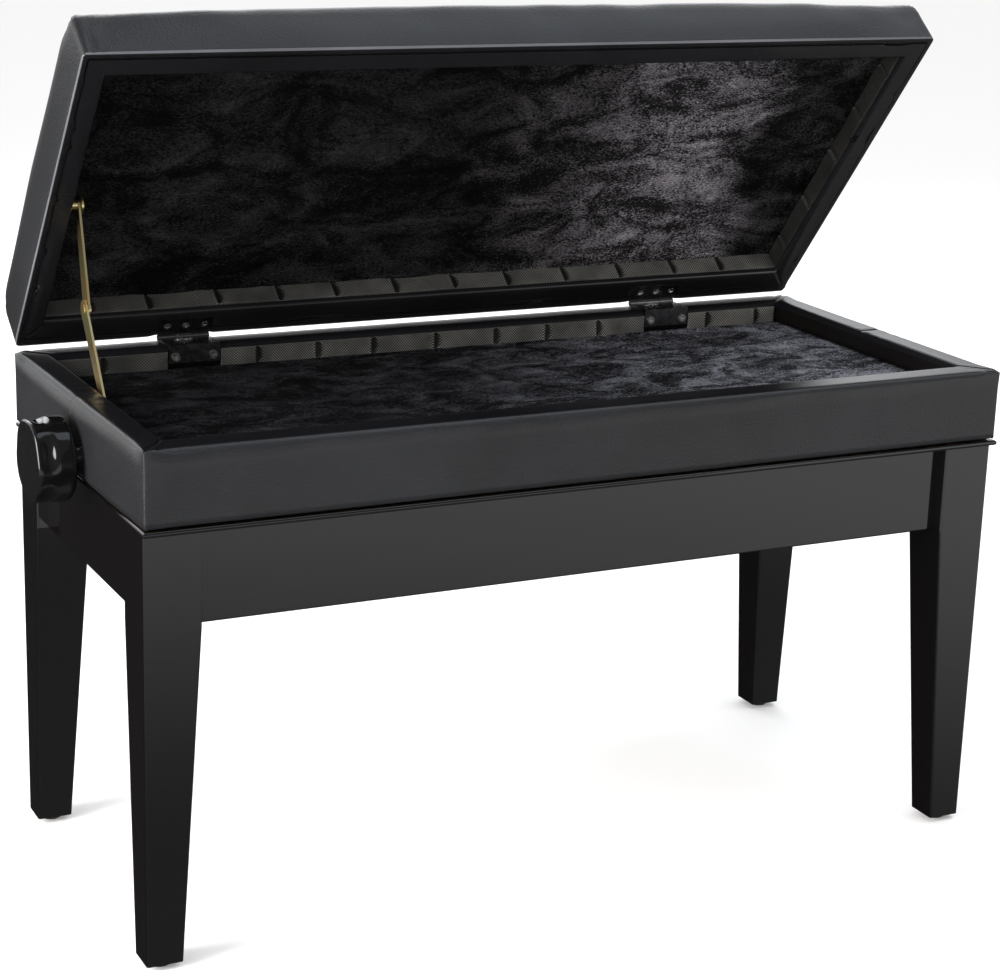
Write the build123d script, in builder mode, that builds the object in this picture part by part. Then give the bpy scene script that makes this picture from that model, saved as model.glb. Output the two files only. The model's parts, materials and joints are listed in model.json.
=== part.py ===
"""Adjustable piano bench with a hinged, upholstered lid over a shallow music compartment.

Bench frame: +X to the sitter's right as seen from the front, +Y to the back, +Z up, millimetres.
The lid stands open on its stay and the seat is at its lowest. The origin is on the floor under
the middle of the open bench's bounding box, so the middle of the frame itself is at y = MID_Y.
"""
import os
from math import asin, cos, degrees, radians, sin, sqrt

from build123d import *

os.makedirs("parts", exist_ok=True)

# ---- driving dimensions: frame -------------------------------------------------------------
WIDTH = 760.0               # over the legs and over the seat box
LEG_DEPTH = 327.6           # over the legs, front to back
LEG_TOP = 350.0             # top of the legs and aprons
LEG_SIZE = 45.8             # square section of the upper leg
LEG_FOOT = 29.4             # square section at the foot
GLIDE_HEIGHT = 5.0          # the legs start this far above the floor
TAPER_START = 275.0         # the two inner faces lean from here down
EDGE_ROUND = 2.0            # polished wood edges
LOWER_EDGE_ROUND = 1.5      # lower edges of the aprons
SNUG = 0.05                 # screws and pins in their holes
FREE = 0.1                  # bolts and bushes in theirs
APRON_BOTTOM = 274.7
APRON_RECESS = 10.0         # aprons stand back from the leg faces
APRON_THICK = 18.0
MOULDING_THICK = 4.4
MOULDING_PROUD = 1.5        # the moulding stands out past the seat box
MOULDING_WIDTH = 36.5

# ---- driving dimensions: seat box ----------------------------------------------------------
BOX_DEPTH = 338.0
BOX_BOTTOM = 356.2
BOX_TOP = 415.7
VINYL = 1.2
FRONT_RIM = 30.0            # rim widths seen from above, vinyl included
REAR_RIM = 25.0
SIDE_RIM = 25.0
FLOOR_PANEL_TOP = 393.0
FLOOR_PANEL_THICK = 5.0
LINING = 2.0
RIM_ROUND = 5.0
WEBBING = 1.4

# ---- driving dimensions: lid ---------------------------------------------------------------
LID_OPEN = 51.15            # degrees from closed
LID_LENGTH = 338.0
LID_WIDTH = 761.0
LID_THICK = 50.0
LID_CORNER = 6.0
LID_ROUND = 12.0
LID_SIDE_RIM = 20.5
LID_FRONT_RIM = 23.0
LID_REAR_RIM = 28.0
LID_RAIL_TOP = 24.0         # depth of the recess under the lid panel
LID_PANEL_THICK = 5.0
LID_LINING = 1.5
LID_EDGE_Y = 172.0          # lower hinge-side edge of the open lid, from the middle of the bench
LID_EDGE_Z = 419.7

# ---- driving dimensions: hinges ------------------------------------------------------------
HINGE_X = 232.5
HINGE_LENGTH = 46.0
HINGE_Y = 173.0             # pin axis, from the middle of the bench
HINGE_Z = 416.8
KNUCKLE_R = 2.6
PIN_R = 1.2
PIN_FIT = 0.06
LEAF = 1.2

# ---- driving dimensions: lid stay (y, z of its pivots with the lid open) -------------------
STAY_TOP = (82.0, 551.3)
STAY_ELBOW = (61.7, 470.6)
STAY_FOOT = (13.6, 404.1)
ARM_THICK = 1.8
UPPER_ARM_X = -351.4        # outer face of the upper arm
LOWER_ARM_X = -353.6        # outer face of the lower arm
STAY_RIVET_R = 2.5

# ---- driving dimensions: lifting gear ------------------------------------------------------
SPINDLE_Z = 368.0
SPINDLE_R = 6.0
KNOB_R = 33.5
KNOB_DEPTH = 30.0
KNOB_FACE = 418.0           # distance of the knob's outer face from the middle
FLUTES = 5
ARM_LENGTH = 360.0          # pivot to pivot
LIFT_ARM_WIDTH = 20.0
LIFT_ARM_THICK = 4.0
LOWER_PIVOT_Z = 294.0
FIXED_PIVOT_X = -176.0
LIFT_TRAVEL = 85.0
ROD_R = 5.0
ROD_FIT = 0.06
RAIL_INNER_Y = 104.0        # inner face of the upright flange of every rail
RAIL_THICK = 2.5
OUTER_ARM_Y = 98.5          # inner face of the outer scissor arms
INNER_ARM_Y = 93.5
CROSS_BAR_X = 215.0
CROSS_BAR_WIDTH = 40.0

# ---- places worked out from them -----------------------------------------------------------
HALF_W = WIDTH / 2
HALF_D = LEG_DEPTH / 2
BOX_HALF_D = BOX_DEPTH / 2
LEAN = radians(LID_OPEN)
LID_REAR_REACH = (LID_EDGE_Y - LID_ROUND * cos(LEAN)
                  + (LID_THICK - LID_ROUND) * sin(LEAN) + LID_ROUND)
MID_Y = round((BOX_HALF_D + MOULDING_PROUD - LID_REAR_REACH) / 2, 1)
APRON_FRONT = HALF_D - APRON_RECESS
APRON_BACK = APRON_FRONT - APRON_THICK
APRON_SIDE = HALF_W - APRON_RECESS
APRON_SIDE_BACK = APRON_SIDE - APRON_THICK
LEG_INNER_X = HALF_W - LEG_SIZE
LEG_INNER_Y = HALF_D - LEG_SIZE
MOULDING_TOP = LEG_TOP + MOULDING_THICK
INNER_X = HALF_W - SIDE_RIM
INNER_FRONT = -BOX_HALF_D + FRONT_RIM
INNER_REAR = BOX_HALF_D - REAR_RIM
BOARD_TOP = BOX_TOP - VINYL
ARM_DROP = SPINDLE_Z - LOWER_PIVOT_Z
ARM_ANGLE = asin(ARM_DROP / ARM_LENGTH)
ARM_ANGLE_RAISED = asin((ARM_DROP + LIFT_TRAVEL) / ARM_LENGTH)
SLIDING_X = FIXED_PIVOT_X + ARM_LENGTH * cos(ARM_ANGLE)
SLIDING_X_RAISED = FIXED_PIVOT_X + ARM_LENGTH * cos(ARM_ANGLE_RAISED)
SIDES = (("left", -1), ("right", 1))
ENDS = (("front", -1), ("rear", 1))

# Plan: local x, y = X and Y from the middle of the bench. Side: local x = Y, local y = Z.
PLAN = Plane(origin=(0, MID_Y, 0))
SIDE = Plane(origin=(0, MID_Y, 0), x_dir=(0, 1, 0), z_dir=(1, 0, 0))
# Front: local x = X, local y = Z, extruding towards the sitter.
FRONT = Plane(origin=(0, MID_Y, 0), x_dir=(1, 0, 0), z_dir=(0, -1, 0))
# Lid: local x = X, local y runs to the hinge edge at 0, local z is up through the cushion.
LID = Plane(origin=(0, LID_EDGE_Y + MID_Y, LID_EDGE_Z), x_dir=(1, 0, 0),
            z_dir=(0, sin(LEAN), cos(LEAN)))


def across(y):
    """Front-view plane at y from the middle of the bench; extrusions run towards the sitter."""
    return FRONT.offset(-y)


def lid_point(y, z):
    """Local y and z in the lid's frame of a point given in the bench's side view."""
    back, up = y - LID_EDGE_Y, z - LID_EDGE_Z
    return back * cos(LEAN) - up * sin(LEAN), back * sin(LEAN) + up * cos(LEAN)


# ---- legs: outer faces upright, the two inner faces tapered --------------------------------
BOLT_R = 4.0
BOLT_Z = 315.0
BOLT_DEPTH = 30.0
GLIDE_X = HALF_W - LEG_FOOT / 2
GLIDE_Y = HALF_D - LEG_FOOT / 2
GLIDE_R = 9.0
GLIDE_ROUND = 2.0
GLIDE_PIN_R = 2.0
GLIDE_PIN_TOP = 19.0
BLOCK_GAP = 0.8             # between a corner block and its leg, measured along X
BLOCK_THICK = 20.0
BLOCK_OUTER = LEG_INNER_X + LEG_INNER_Y - BLOCK_GAP     # x + y of the block's outer face
BLOCK_INNER = BLOCK_OUTER - BLOCK_THICK * sqrt(2)
BLOCK_BOTTOM = 292.0
BLOCK_TOP = 338.0


def corner_axis(sx, sy):
    """Plane on a leg's inner corner whose normal runs diagonally out into the leg."""
    return Plane(origin=(sx * LEG_INNER_X, sy * LEG_INNER_Y + MID_Y, BOLT_Z),
                 x_dir=(0, 0, 1), z_dir=(sx, sy, 0))


def leg_section(size, sx, sy):
    """Square section of a leg whose two outer faces stay on the frame's outside."""
    with Locations((sx * (HALF_W - size / 2), sy * (HALF_D - size / 2))):
        RectangleRounded(size, size, EDGE_ROUND)


for side, sx in SIDES:
    for end, sy in ENDS:
        with BuildPart() as leg:
            with BuildSketch(PLAN.offset(TAPER_START)):
                leg_section(LEG_SIZE, sx, sy)
            extrude(amount=LEG_TOP - TAPER_START)
            with BuildSketch(PLAN.offset(TAPER_START)):
                leg_section(LEG_SIZE, sx, sy)
            with BuildSketch(PLAN.offset(GLIDE_HEIGHT)):
                leg_section(LEG_FOOT, sx, sy)
            loft()
            with BuildSketch(Plane(origin=(sx * GLIDE_X, sy * GLIDE_Y + MID_Y, GLIDE_HEIGHT))):
                Circle(GLIDE_PIN_R + SNUG)
            extrude(amount=GLIDE_PIN_TOP - GLIDE_HEIGHT + 1, mode=Mode.SUBTRACT)
            with BuildSketch(corner_axis(sx, sy).offset(-1)):
                Circle(BOLT_R + FREE)
            extrude(amount=BOLT_DEPTH + 2, mode=Mode.SUBTRACT)
        leg.part.label = f"leg_{end}_{side}"
        export_step(leg.part, f"parts/{leg.part.label}.step")

# ---- nailed glides -------------------------------------------------------------------------
with BuildPart() as foot_glides:
    for sx in (-1, 1):
        for sy in (-1, 1):
            foot = Plane(origin=(sx * GLIDE_X, sy * GLIDE_Y + MID_Y, 0))
            with BuildSketch(foot):
                Circle(GLIDE_R)
            extrude(amount=GLIDE_HEIGHT)
            with BuildSketch(foot.offset(GLIDE_HEIGHT)):
                Circle(GLIDE_PIN_R)
            extrude(amount=GLIDE_PIN_TOP - GLIDE_HEIGHT)
    fillet(foot_glides.edges().group_by(Axis.Z)[0], GLIDE_ROUND)
foot_glides.part.label = "foot_glides"
export_step(foot_glides.part, "parts/foot_glides.step")

# ---- aprons, with pilot holes for the cross bars' screws -----------------------------------
SCREW_R = 2.0
SCREW_LENGTH = 12.0
SCREW_HEAD_R = 4.0
SCREW_HEAD = 2.2
TAB_SCREW_Z = 293.0
TAB_SCREW_X = 12.0          # from the middle of the bar
BAR_THICK = 4.0
BAR_Z = 276.0
TAB_TOP = 302.0
TAB_SCREWS = [(sx * CROSS_BAR_X + dx, TAB_SCREW_Z)
              for sx in (-1, 1) for dx in (-TAB_SCREW_X, TAB_SCREW_X)]

for end, sy in ENDS:
    with BuildPart() as apron:
        with BuildSketch(PLAN.offset(APRON_BOTTOM)):
            with Locations((0, sy * (APRON_FRONT + APRON_BACK) / 2)):
                Rectangle(2 * LEG_INNER_X, APRON_THICK)
        extrude(amount=LEG_TOP - APRON_BOTTOM)
        fillet(apron.edges().group_by(Axis.Z)[0].filter_by(Axis.X), LOWER_EDGE_ROUND)
        with BuildSketch(across(sy * APRON_BACK)):
            with Locations(*TAB_SCREWS):
                Circle(SCREW_R + SNUG)
        extrude(amount=-sy * (SCREW_LENGTH + 1), mode=Mode.SUBTRACT)
    apron.part.label = f"apron_{end}"
    export_step(apron.part, f"parts/{apron.part.label}.step")

for side, sx in SIDES:
    with BuildPart() as apron:
        with BuildSketch(PLAN.offset(APRON_BOTTOM)):
            with Locations((sx * (APRON_SIDE + APRON_SIDE_BACK) / 2, 0)):
                Rectangle(APRON_THICK, 2 * LEG_INNER_Y)
        extrude(amount=LEG_TOP - APRON_BOTTOM)
        fillet(apron.edges().group_by(Axis.Z)[0].filter_by(Axis.Y), LOWER_EDGE_ROUND)
    apron.part.label = f"apron_{side}"
    export_step(apron.part, f"parts/{apron.part.label}.step")

# ---- top moulding: four mitred strips with a rounded outer edge ----------------------------
MOULD_X = HALF_W + MOULDING_PROUD
MOULD_Y = BOX_HALF_D + MOULDING_PROUD
MOULD_ROUND = 2.0

for end, sy in ENDS:
    with BuildPart() as moulding:
        with BuildSketch(PLAN.offset(LEG_TOP)):
            with BuildLine():
                Polyline((-MOULD_X, sy * MOULD_Y), (MOULD_X, sy * MOULD_Y),
                         (MOULD_X - MOULDING_WIDTH, sy * (MOULD_Y - MOULDING_WIDTH)),
                         (-MOULD_X + MOULDING_WIDTH, sy * (MOULD_Y - MOULDING_WIDTH)), close=True)
            make_face()
        extrude(amount=MOULDING_THICK)
        outer = moulding.edges().filter_by(Axis.X).group_by(Axis.Y)[0 if sy < 0 else -1]
        fillet(outer, MOULD_ROUND)
    moulding.part.label = f"top_moulding_{end}"
    export_step(moulding.part, f"parts/{moulding.part.label}.step")

for side, sx in SIDES:
    with BuildPart() as moulding:
        with BuildSketch(PLAN.offset(LEG_TOP)):
            with BuildLine():
                Polyline((sx * MOULD_X, -MOULD_Y), (sx * MOULD_X, MOULD_Y),
                         (sx * (MOULD_X - MOULDING_WIDTH), MOULD_Y - MOULDING_WIDTH),
                         (sx * (MOULD_X - MOULDING_WIDTH), -MOULD_Y + MOULDING_WIDTH), close=True)
            make_face()
        extrude(amount=MOULDING_THICK)
        outer = moulding.edges().filter_by(Axis.Y).group_by(Axis.X)[0 if sx < 0 else -1]
        fillet(outer, MOULD_ROUND)
    moulding.part.label = f"top_moulding_{side}"
    export_step(moulding.part, f"parts/{moulding.part.label}.step")

# ---- felt pads the seat box comes down on --------------------------------------------------
PAD_R = 8.0
PAD_THICK = 1.5
PAD_INSET_X = 22.0          # from the moulding's outer edge
PAD_INSET_Y = 16.0
with BuildPart() as seat_rest_pads:
    with BuildSketch(PLAN.offset(MOULDING_TOP)):
        with GridLocations(2 * (MOULD_X - PAD_INSET_X), 2 * (MOULD_Y - PAD_INSET_Y), 2, 2):
            Circle(PAD_R)
    extrude(amount=PAD_THICK)
seat_rest_pads.part.label = "seat_rest_pads"
export_step(seat_rest_pads.part, "parts/seat_rest_pads.step")

# ---- corner blocks and the bolts that hold the legs ----------------------------------------
with BuildPart() as corner_blocks:
    for sx in (-1, 1):
        for sy in (-1, 1):
            with BuildSketch(PLAN.offset(BLOCK_BOTTOM)):
                with BuildLine():
                    Polyline((sx * (BLOCK_INNER - APRON_BACK), sy * APRON_BACK),
                             (sx * (BLOCK_OUTER - APRON_BACK), sy * APRON_BACK),
                             (sx * APRON_SIDE_BACK, sy * (BLOCK_OUTER - APRON_SIDE_BACK)),
                             (sx * APRON_SIDE_BACK, sy * (BLOCK_INNER - APRON_SIDE_BACK)),
                             close=True)
                make_face()
            extrude(amount=BLOCK_TOP - BLOCK_BOTTOM)
            with BuildSketch(corner_axis(sx, sy).offset(-BOLT_DEPTH)):
                Circle(BOLT_R + FREE)
            extrude(amount=BOLT_DEPTH, mode=Mode.SUBTRACT)
corner_blocks.part.label = "corner_blocks"
export_step(corner_blocks.part, "parts/corner_blocks.step")

BLOCK_FACE = -BLOCK_GAP / sqrt(2) - BLOCK_THICK     # along the bolt, from the leg's inner corner
BOLT_TAIL = 14.0
WASHER_R = 10.0
WASHER_THICK = 2.0
LEG_NUT_R = 7.5
LEG_NUT_THICK = 7.0
with BuildPart() as leg_bolts:
    for sx in (-1, 1):
        for sy in (-1, 1):
            axis = corner_axis(sx, sy)
            with BuildSketch(axis.offset(BLOCK_FACE - BOLT_TAIL)):
                Circle(BOLT_R)
            extrude(amount=BOLT_DEPTH + BOLT_TAIL - BLOCK_FACE)
leg_bolts.part.label = "leg_bolts"
export_step(leg_bolts.part, "parts/leg_bolts.step")

with BuildPart() as leg_nuts:
    for sx in (-1, 1):
        for sy in (-1, 1):
            axis = corner_axis(sx, sy)
            with BuildSketch(axis.offset(BLOCK_FACE - WASHER_THICK)):
                Circle(WASHER_R)
                Circle(BOLT_R + FREE, mode=Mode.SUBTRACT)
            extrude(amount=WASHER_THICK)
            with BuildSketch(axis.offset(BLOCK_FACE - WASHER_THICK - LEG_NUT_THICK)):
                RegularPolygon(LEG_NUT_R, 6)
                Circle(BOLT_R + FREE, mode=Mode.SUBTRACT)
            extrude(amount=LEG_NUT_THICK)
leg_nuts.part.label = "leg_nuts"
export_step(leg_nuts.part, "parts/leg_nuts.step")

# ---- lifting gear: cross bars and lower rails on the base ----------------------------------
for side, sx in SIDES:
    with BuildPart() as bar:
        with BuildSketch(PLAN.offset(BAR_Z)):
            with Locations((sx * CROSS_BAR_X, 0)):
                Rectangle(CROSS_BAR_WIDTH, 2 * APRON_BACK)
        extrude(amount=BAR_THICK)
        with BuildSketch(PLAN.offset(BAR_Z + BAR_THICK)):
            with Locations((sx * CROSS_BAR_X, APRON_BACK - RAIL_THICK / 2),
                           (sx * CROSS_BAR_X, -APRON_BACK + RAIL_THICK / 2)):
                Rectangle(CROSS_BAR_WIDTH, RAIL_THICK)
        extrude(amount=TAB_TOP - BAR_Z - BAR_THICK)
        with BuildSketch(across(APRON_BACK + 1)):
            with Locations(*[(x, z) for x, z in TAB_SCREWS if x * sx > 0]):
                Circle(SCREW_R + FREE)
        extrude(amount=2 * APRON_BACK + 2, mode=Mode.SUBTRACT)
    bar.part.label = f"lift_cross_bar_{side}"
    export_step(bar.part, f"parts/{bar.part.label}.step")

with BuildPart() as cross_bar_screws:
    for sy in (-1, 1):
        with BuildSketch(across(sy * (APRON_BACK - RAIL_THICK))):
            with Locations(*TAB_SCREWS):
                Circle(SCREW_R)
        extrude(amount=-sy * (RAIL_THICK + SCREW_LENGTH))
        with BuildSketch(across(sy * (APRON_BACK - RAIL_THICK))):
            with Locations(*TAB_SCREWS):
                Circle(SCREW_HEAD_R)
        extrude(amount=sy * SCREW_HEAD)
cross_bar_screws.part.label = "cross_bar_screws"
export_step(cross_bar_screws.part, "parts/cross_bar_screws.step")

RAIL_HALF = 245.0
RAIL_REACH = 128.0
LOWER_RAIL_TOP = 307.0
SLOT_MIDDLE = (SLIDING_X + SLIDING_X_RAISED) / 2
SLOT_LENGTH = SLIDING_X - SLIDING_X_RAISED + 1.0
LOWER_SLOT_R = ROD_R + 1.4  # the slide rod lifts and drops a little on its way along
UPPER_SLOT_R = ROD_R + 0.3
ROD_HALF = 108.5
ROD_HEAD = 1.5
ROD_HEAD_R = 8.0


def add_disc(plane, centre, radius, thick, mode=Mode.ADD):
    """Round boss, pin, head or hole standing on a plane."""
    with BuildSketch(plane) as outline:
        with Locations(centre):
            Circle(radius)
    extrude(outline.sketch, amount=thick, mode=mode)


def angle_rail(sy, low, high, pivot_z, foot_low, slot_r):
    """Angle rail along X: upright flange with a pivot hole and a slot, foot turned outwards."""
    middle = sy * (RAIL_INNER_Y + RAIL_THICK / 2)
    with BuildPart() as piece:
        with BuildSketch(PLAN.offset(low)):
            with Locations((0, middle)):
                Rectangle(2 * RAIL_HALF, RAIL_THICK)
        extrude(amount=high - low)
        with BuildSketch(PLAN.offset(foot_low)):
            with Locations((0, sy * (RAIL_INNER_Y + RAIL_REACH) / 2)):
                Rectangle(2 * RAIL_HALF, RAIL_REACH - RAIL_INNER_Y)
        extrude(amount=RAIL_THICK)
        with BuildSketch(across(middle)):
            with Locations((FIXED_PIVOT_X, pivot_z)):
                Circle(ROD_R + ROD_FIT)
            with Locations((SLOT_MIDDLE, pivot_z)):
                SlotCenterToCenter(SLOT_LENGTH, 2 * slot_r)
        extrude(amount=2 * RAIL_THICK, both=True, mode=Mode.SUBTRACT)
    return piece


for end, sy in ENDS:
    lower_rail = angle_rail(sy, BAR_Z + BAR_THICK, LOWER_RAIL_TOP, LOWER_PIVOT_Z,
                            BAR_Z + BAR_THICK, LOWER_SLOT_R)
    lower_rail.part.label = f"lift_lower_rail_{end}"
    export_step(lower_rail.part, f"parts/{lower_rail.part.label}.step")


def cross_rod(x, z):
    """Rod across the bench with a peened head outside each rail."""
    with BuildPart() as piece:
        add_disc(across(ROD_HALF), (x, z), ROD_R, 2 * ROD_HALF)
        add_disc(across(ROD_HALF), (x, z), ROD_HEAD_R, ROD_HEAD)
        add_disc(across(-ROD_HALF), (x, z), ROD_HEAD_R, -ROD_HEAD)
    return piece


lower_pivot_rod = cross_rod(FIXED_PIVOT_X, LOWER_PIVOT_Z)
lower_pivot_rod.part.label = "lower_pivot_rod"
export_step(lower_pivot_rod.part, "parts/lower_pivot_rod.step")

lower_slide_rod = cross_rod(SLIDING_X, LOWER_PIVOT_Z)
lower_slide_rod.part.label = "lower_slide_rod"
export_step(lower_slide_rod.part, "parts/lower_slide_rod.step")

# ---- scissor arms: outer pair from the lower left, inner pair from the upper left ----------
END_SLOT = 3.6              # the outer arms' sliding ends have this much slot along the arm
CENTRE_PIN_FIT = 1.4        # clearance round the centre pin in the inner arms


def scissor_arm(sy, near, rises, centre_r, end_slot, end_r):
    """Flat arm from its fixed pivot on the left to its sliding end, both ends round."""
    middle = Pos((FIXED_PIVOT_X + SLIDING_X) / 2, (LOWER_PIVOT_Z + SPINDLE_Z) / 2)
    with BuildPart() as piece:
        with BuildSketch(across(sy * near)):
            with Locations(middle * Rot(Z=rises * degrees(ARM_ANGLE))):
                SlotCenterToCenter(ARM_LENGTH, LIFT_ARM_WIDTH)
                Circle(centre_r, mode=Mode.SUBTRACT)
                with Locations((-ARM_LENGTH / 2, 0)):
                    Circle(ROD_R + ROD_FIT, mode=Mode.SUBTRACT)
                with Locations((ARM_LENGTH / 2 - end_slot / 2, 0)):
                    if end_slot:
                        SlotCenterToCenter(end_slot, 2 * end_r, mode=Mode.SUBTRACT)
                    else:
                        Circle(end_r, mode=Mode.SUBTRACT)
        extrude(amount=-sy * LIFT_ARM_THICK)
    return piece


for end, sy in ENDS:
    outer_arm = scissor_arm(sy, OUTER_ARM_Y, 1, ROD_R + ROD_FIT, END_SLOT, UPPER_SLOT_R)
    outer_arm.part.label = f"scissor_outer_arm_{end}"
    export_step(outer_arm.part, f"parts/{outer_arm.part.label}.step")
    inner_arm = scissor_arm(sy, INNER_ARM_Y, -1, ROD_R + CENTRE_PIN_FIT, 0, ROD_R + ROD_FIT)
    inner_arm.part.label = f"scissor_inner_arm_{end}"
    export_step(inner_arm.part, f"parts/{inner_arm.part.label}.step")

CENTRE = ((FIXED_PIVOT_X + SLIDING_X) / 2, (SPINDLE_Z + LOWER_PIVOT_Z) / 2)
PIN_HEAD_R = 8.5
PIN_HEAD = 1.3
PIN_HEAD_GAP = 0.5          # between the inner head and the inner arm
OUTER_ARM_FACE = OUTER_ARM_Y + LIFT_ARM_THICK
with BuildPart() as scissor_centre_pins:
    for sy in (-1, 1):
        add_disc(across(sy * (INNER_ARM_Y - PIN_HEAD_GAP)), CENTRE, PIN_HEAD_R, sy * PIN_HEAD)
        add_disc(across(sy * OUTER_ARM_FACE), CENTRE, ROD_R,
                 sy * (OUTER_ARM_FACE - INNER_ARM_Y + PIN_HEAD_GAP))
        add_disc(across(sy * OUTER_ARM_FACE), CENTRE, PIN_HEAD_R, -sy * PIN_HEAD)
scissor_centre_pins.part.label = "scissor_centre_pins"
export_step(scissor_centre_pins.part, "parts/scissor_centre_pins.step")

# ---- seat box: four boards, floor, lining, webbing -----------------------------------------
BOARD_ROUND = 3.6
BOX_CORNER = 4.0            # upright corners of the vinyl cover
BUSH_R = 9.0
BUSH_FLANGE_R = 11.5
BUSH_FLANGE = 2.0
BOARD_HALF_X = HALF_W - VINYL
BOARD_HALF_Y = BOX_HALF_D - VINYL
CAVITY_X = INNER_X + VINYL
CAVITY_FRONT = INNER_FRONT - VINYL
CAVITY_REAR = INNER_REAR + VINYL


def box_board(x_low, x_high, y_low, y_high, rounded):
    """Upright board of the seat box, its outer top edges rounded under the vinyl."""
    with BuildPart() as piece:
        with BuildSketch(PLAN.offset(BOX_BOTTOM)):
            with Locations(((x_low + x_high) / 2, (y_low + y_high) / 2)):
                Rectangle(x_high - x_low, y_high - y_low)
        extrude(amount=BOARD_TOP - BOX_BOTTOM)
        fillet(rounded(piece.edges().group_by(Axis.Z)[-1]), BOARD_ROUND)
        add_disc(SIDE.offset(-HALF_W), (0, SPINDLE_Z), BUSH_R + FREE, WIDTH, Mode.SUBTRACT)
    return piece


def every_edge(edges):
    """The front and rear boards run the full width, so all their top edges are rounded."""
    return edges


def long_edges(edges):
    """The side boards butt between them, so only their long top edges are rounded."""
    return edges.filter_by(Axis.Y)


box_front_board = box_board(-BOARD_HALF_X, BOARD_HALF_X, -BOARD_HALF_Y, CAVITY_FRONT, every_edge)
box_front_board.part.label = "box_front_board"
export_step(box_front_board.part, "parts/box_front_board.step")

box_rear_board = box_board(-BOARD_HALF_X, BOARD_HALF_X, CAVITY_REAR, BOARD_HALF_Y, every_edge)
box_rear_board.part.label = "box_rear_board"
export_step(box_rear_board.part, "parts/box_rear_board.step")

for side, sx in SIDES:
    x_low, x_high = sorted((sx * CAVITY_X, sx * BOARD_HALF_X))
    side_board = box_board(x_low, x_high, CAVITY_FRONT, CAVITY_REAR, long_edges)
    side_board.part.label = f"box_{side}_board"
    export_step(side_board.part, f"parts/{side_board.part.label}.step")

with BuildPart() as box_floor_panel:
    with BuildSketch(PLAN.offset(FLOOR_PANEL_TOP - FLOOR_PANEL_THICK)):
        with Locations((0, (CAVITY_FRONT + CAVITY_REAR) / 2)):
            Rectangle(2 * CAVITY_X, CAVITY_REAR - CAVITY_FRONT)
    extrude(amount=FLOOR_PANEL_THICK)
box_floor_panel.part.label = "box_floor_panel"
export_step(box_floor_panel.part, "parts/box_floor_panel.step")

with BuildPart() as box_floor_lining:
    with BuildSketch(PLAN.offset(FLOOR_PANEL_TOP)):
        with Locations((0, (INNER_FRONT + INNER_REAR) / 2)):
            Rectangle(2 * INNER_X, INNER_REAR - INNER_FRONT)
    extrude(amount=LINING)
box_floor_lining.part.label = "box_floor_lining"
export_step(box_floor_lining.part, "parts/box_floor_lining.step")

LEAF_SINK = 0.4             # the box leaf is let into the vinyl this far
WEBBING_HALF = 352.0
LEAF_SIDE = HINGE_LENGTH / 2 + 2        # the webbing stops this far from a hinge's middle
WEBBING_ENDS = ((-WEBBING_HALF, -HINGE_X - LEAF_SIDE), (-HINGE_X + LEAF_SIDE, HINGE_X - LEAF_SIDE),
                (HINGE_X + LEAF_SIDE, WEBBING_HALF))
with BuildPart() as box_webbing_strip:
    with BuildSketch(PLAN.offset(FLOOR_PANEL_TOP + LINING)):
        for low, high in WEBBING_ENDS:
            with Locations(((low + high) / 2, INNER_REAR - WEBBING / 2)):
                Rectangle(high - low, WEBBING)
    extrude(amount=BOX_TOP - RIM_ROUND - FLOOR_PANEL_TOP - LINING)
box_webbing_strip.part.label = "box_webbing_strip"
export_step(box_webbing_strip.part, "parts/box_webbing_strip.step")

# ---- seat box: vinyl over the outside, the rim and the inner walls -------------------------
with BuildPart() as box_vinyl_cover:
    with BuildSketch(PLAN.offset(BOX_BOTTOM)):
        RectangleRounded(WIDTH, BOX_DEPTH, BOX_CORNER)
    extrude(amount=BOX_TOP - BOX_BOTTOM)
    with BuildSketch(PLAN.offset(BOX_BOTTOM)):
        with Locations((0, (INNER_FRONT + INNER_REAR) / 2)):
            Rectangle(2 * INNER_X, INNER_REAR - INNER_FRONT)
    extrude(amount=BOX_TOP - BOX_BOTTOM, mode=Mode.SUBTRACT)
    fillet(box_vinyl_cover.edges().group_by(Axis.Z)[-1], RIM_ROUND)
    with BuildSketch(PLAN.offset(BOX_BOTTOM)):
        Rectangle(2 * BOARD_HALF_X, 2 * BOARD_HALF_Y)
        with Locations((0, (CAVITY_FRONT + CAVITY_REAR) / 2)):
            Rectangle(2 * CAVITY_X, CAVITY_REAR - CAVITY_FRONT, mode=Mode.SUBTRACT)
    boards = extrude(amount=BOARD_TOP - BOX_BOTTOM, mode=Mode.PRIVATE)
    boards = boards.fillet(BOARD_ROUND, boards.edges().group_by(Axis.Z)[-1])
    add(boards, mode=Mode.SUBTRACT)
    with BuildSketch(PLAN.offset(BOX_BOTTOM)):
        with Locations((0, (CAVITY_FRONT + CAVITY_REAR) / 2)):
            Rectangle(2 * CAVITY_X, CAVITY_REAR - CAVITY_FRONT)
    extrude(amount=FLOOR_PANEL_TOP - BOX_BOTTOM, mode=Mode.SUBTRACT)
    with BuildSketch(SIDE.offset(-HALF_W - 5)):
        with Locations((0, SPINDLE_Z)):
            Circle(BUSH_R + 2 * FREE)
    extrude(amount=WIDTH + 10, mode=Mode.SUBTRACT)
    with BuildSketch(PLAN.offset(BOX_TOP - LEAF_SINK)):
        with Locations((-HINGE_X, INNER_REAR + REAR_RIM / 2), (HINGE_X, INNER_REAR + REAR_RIM / 2)):
            Rectangle(HINGE_LENGTH + 1, REAR_RIM + 2)
    extrude(amount=LEAF_SINK + 1, mode=Mode.SUBTRACT)
box_vinyl_cover.part.label = "box_vinyl_cover"
export_step(box_vinyl_cover.part, "parts/box_vinyl_cover.step")

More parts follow.
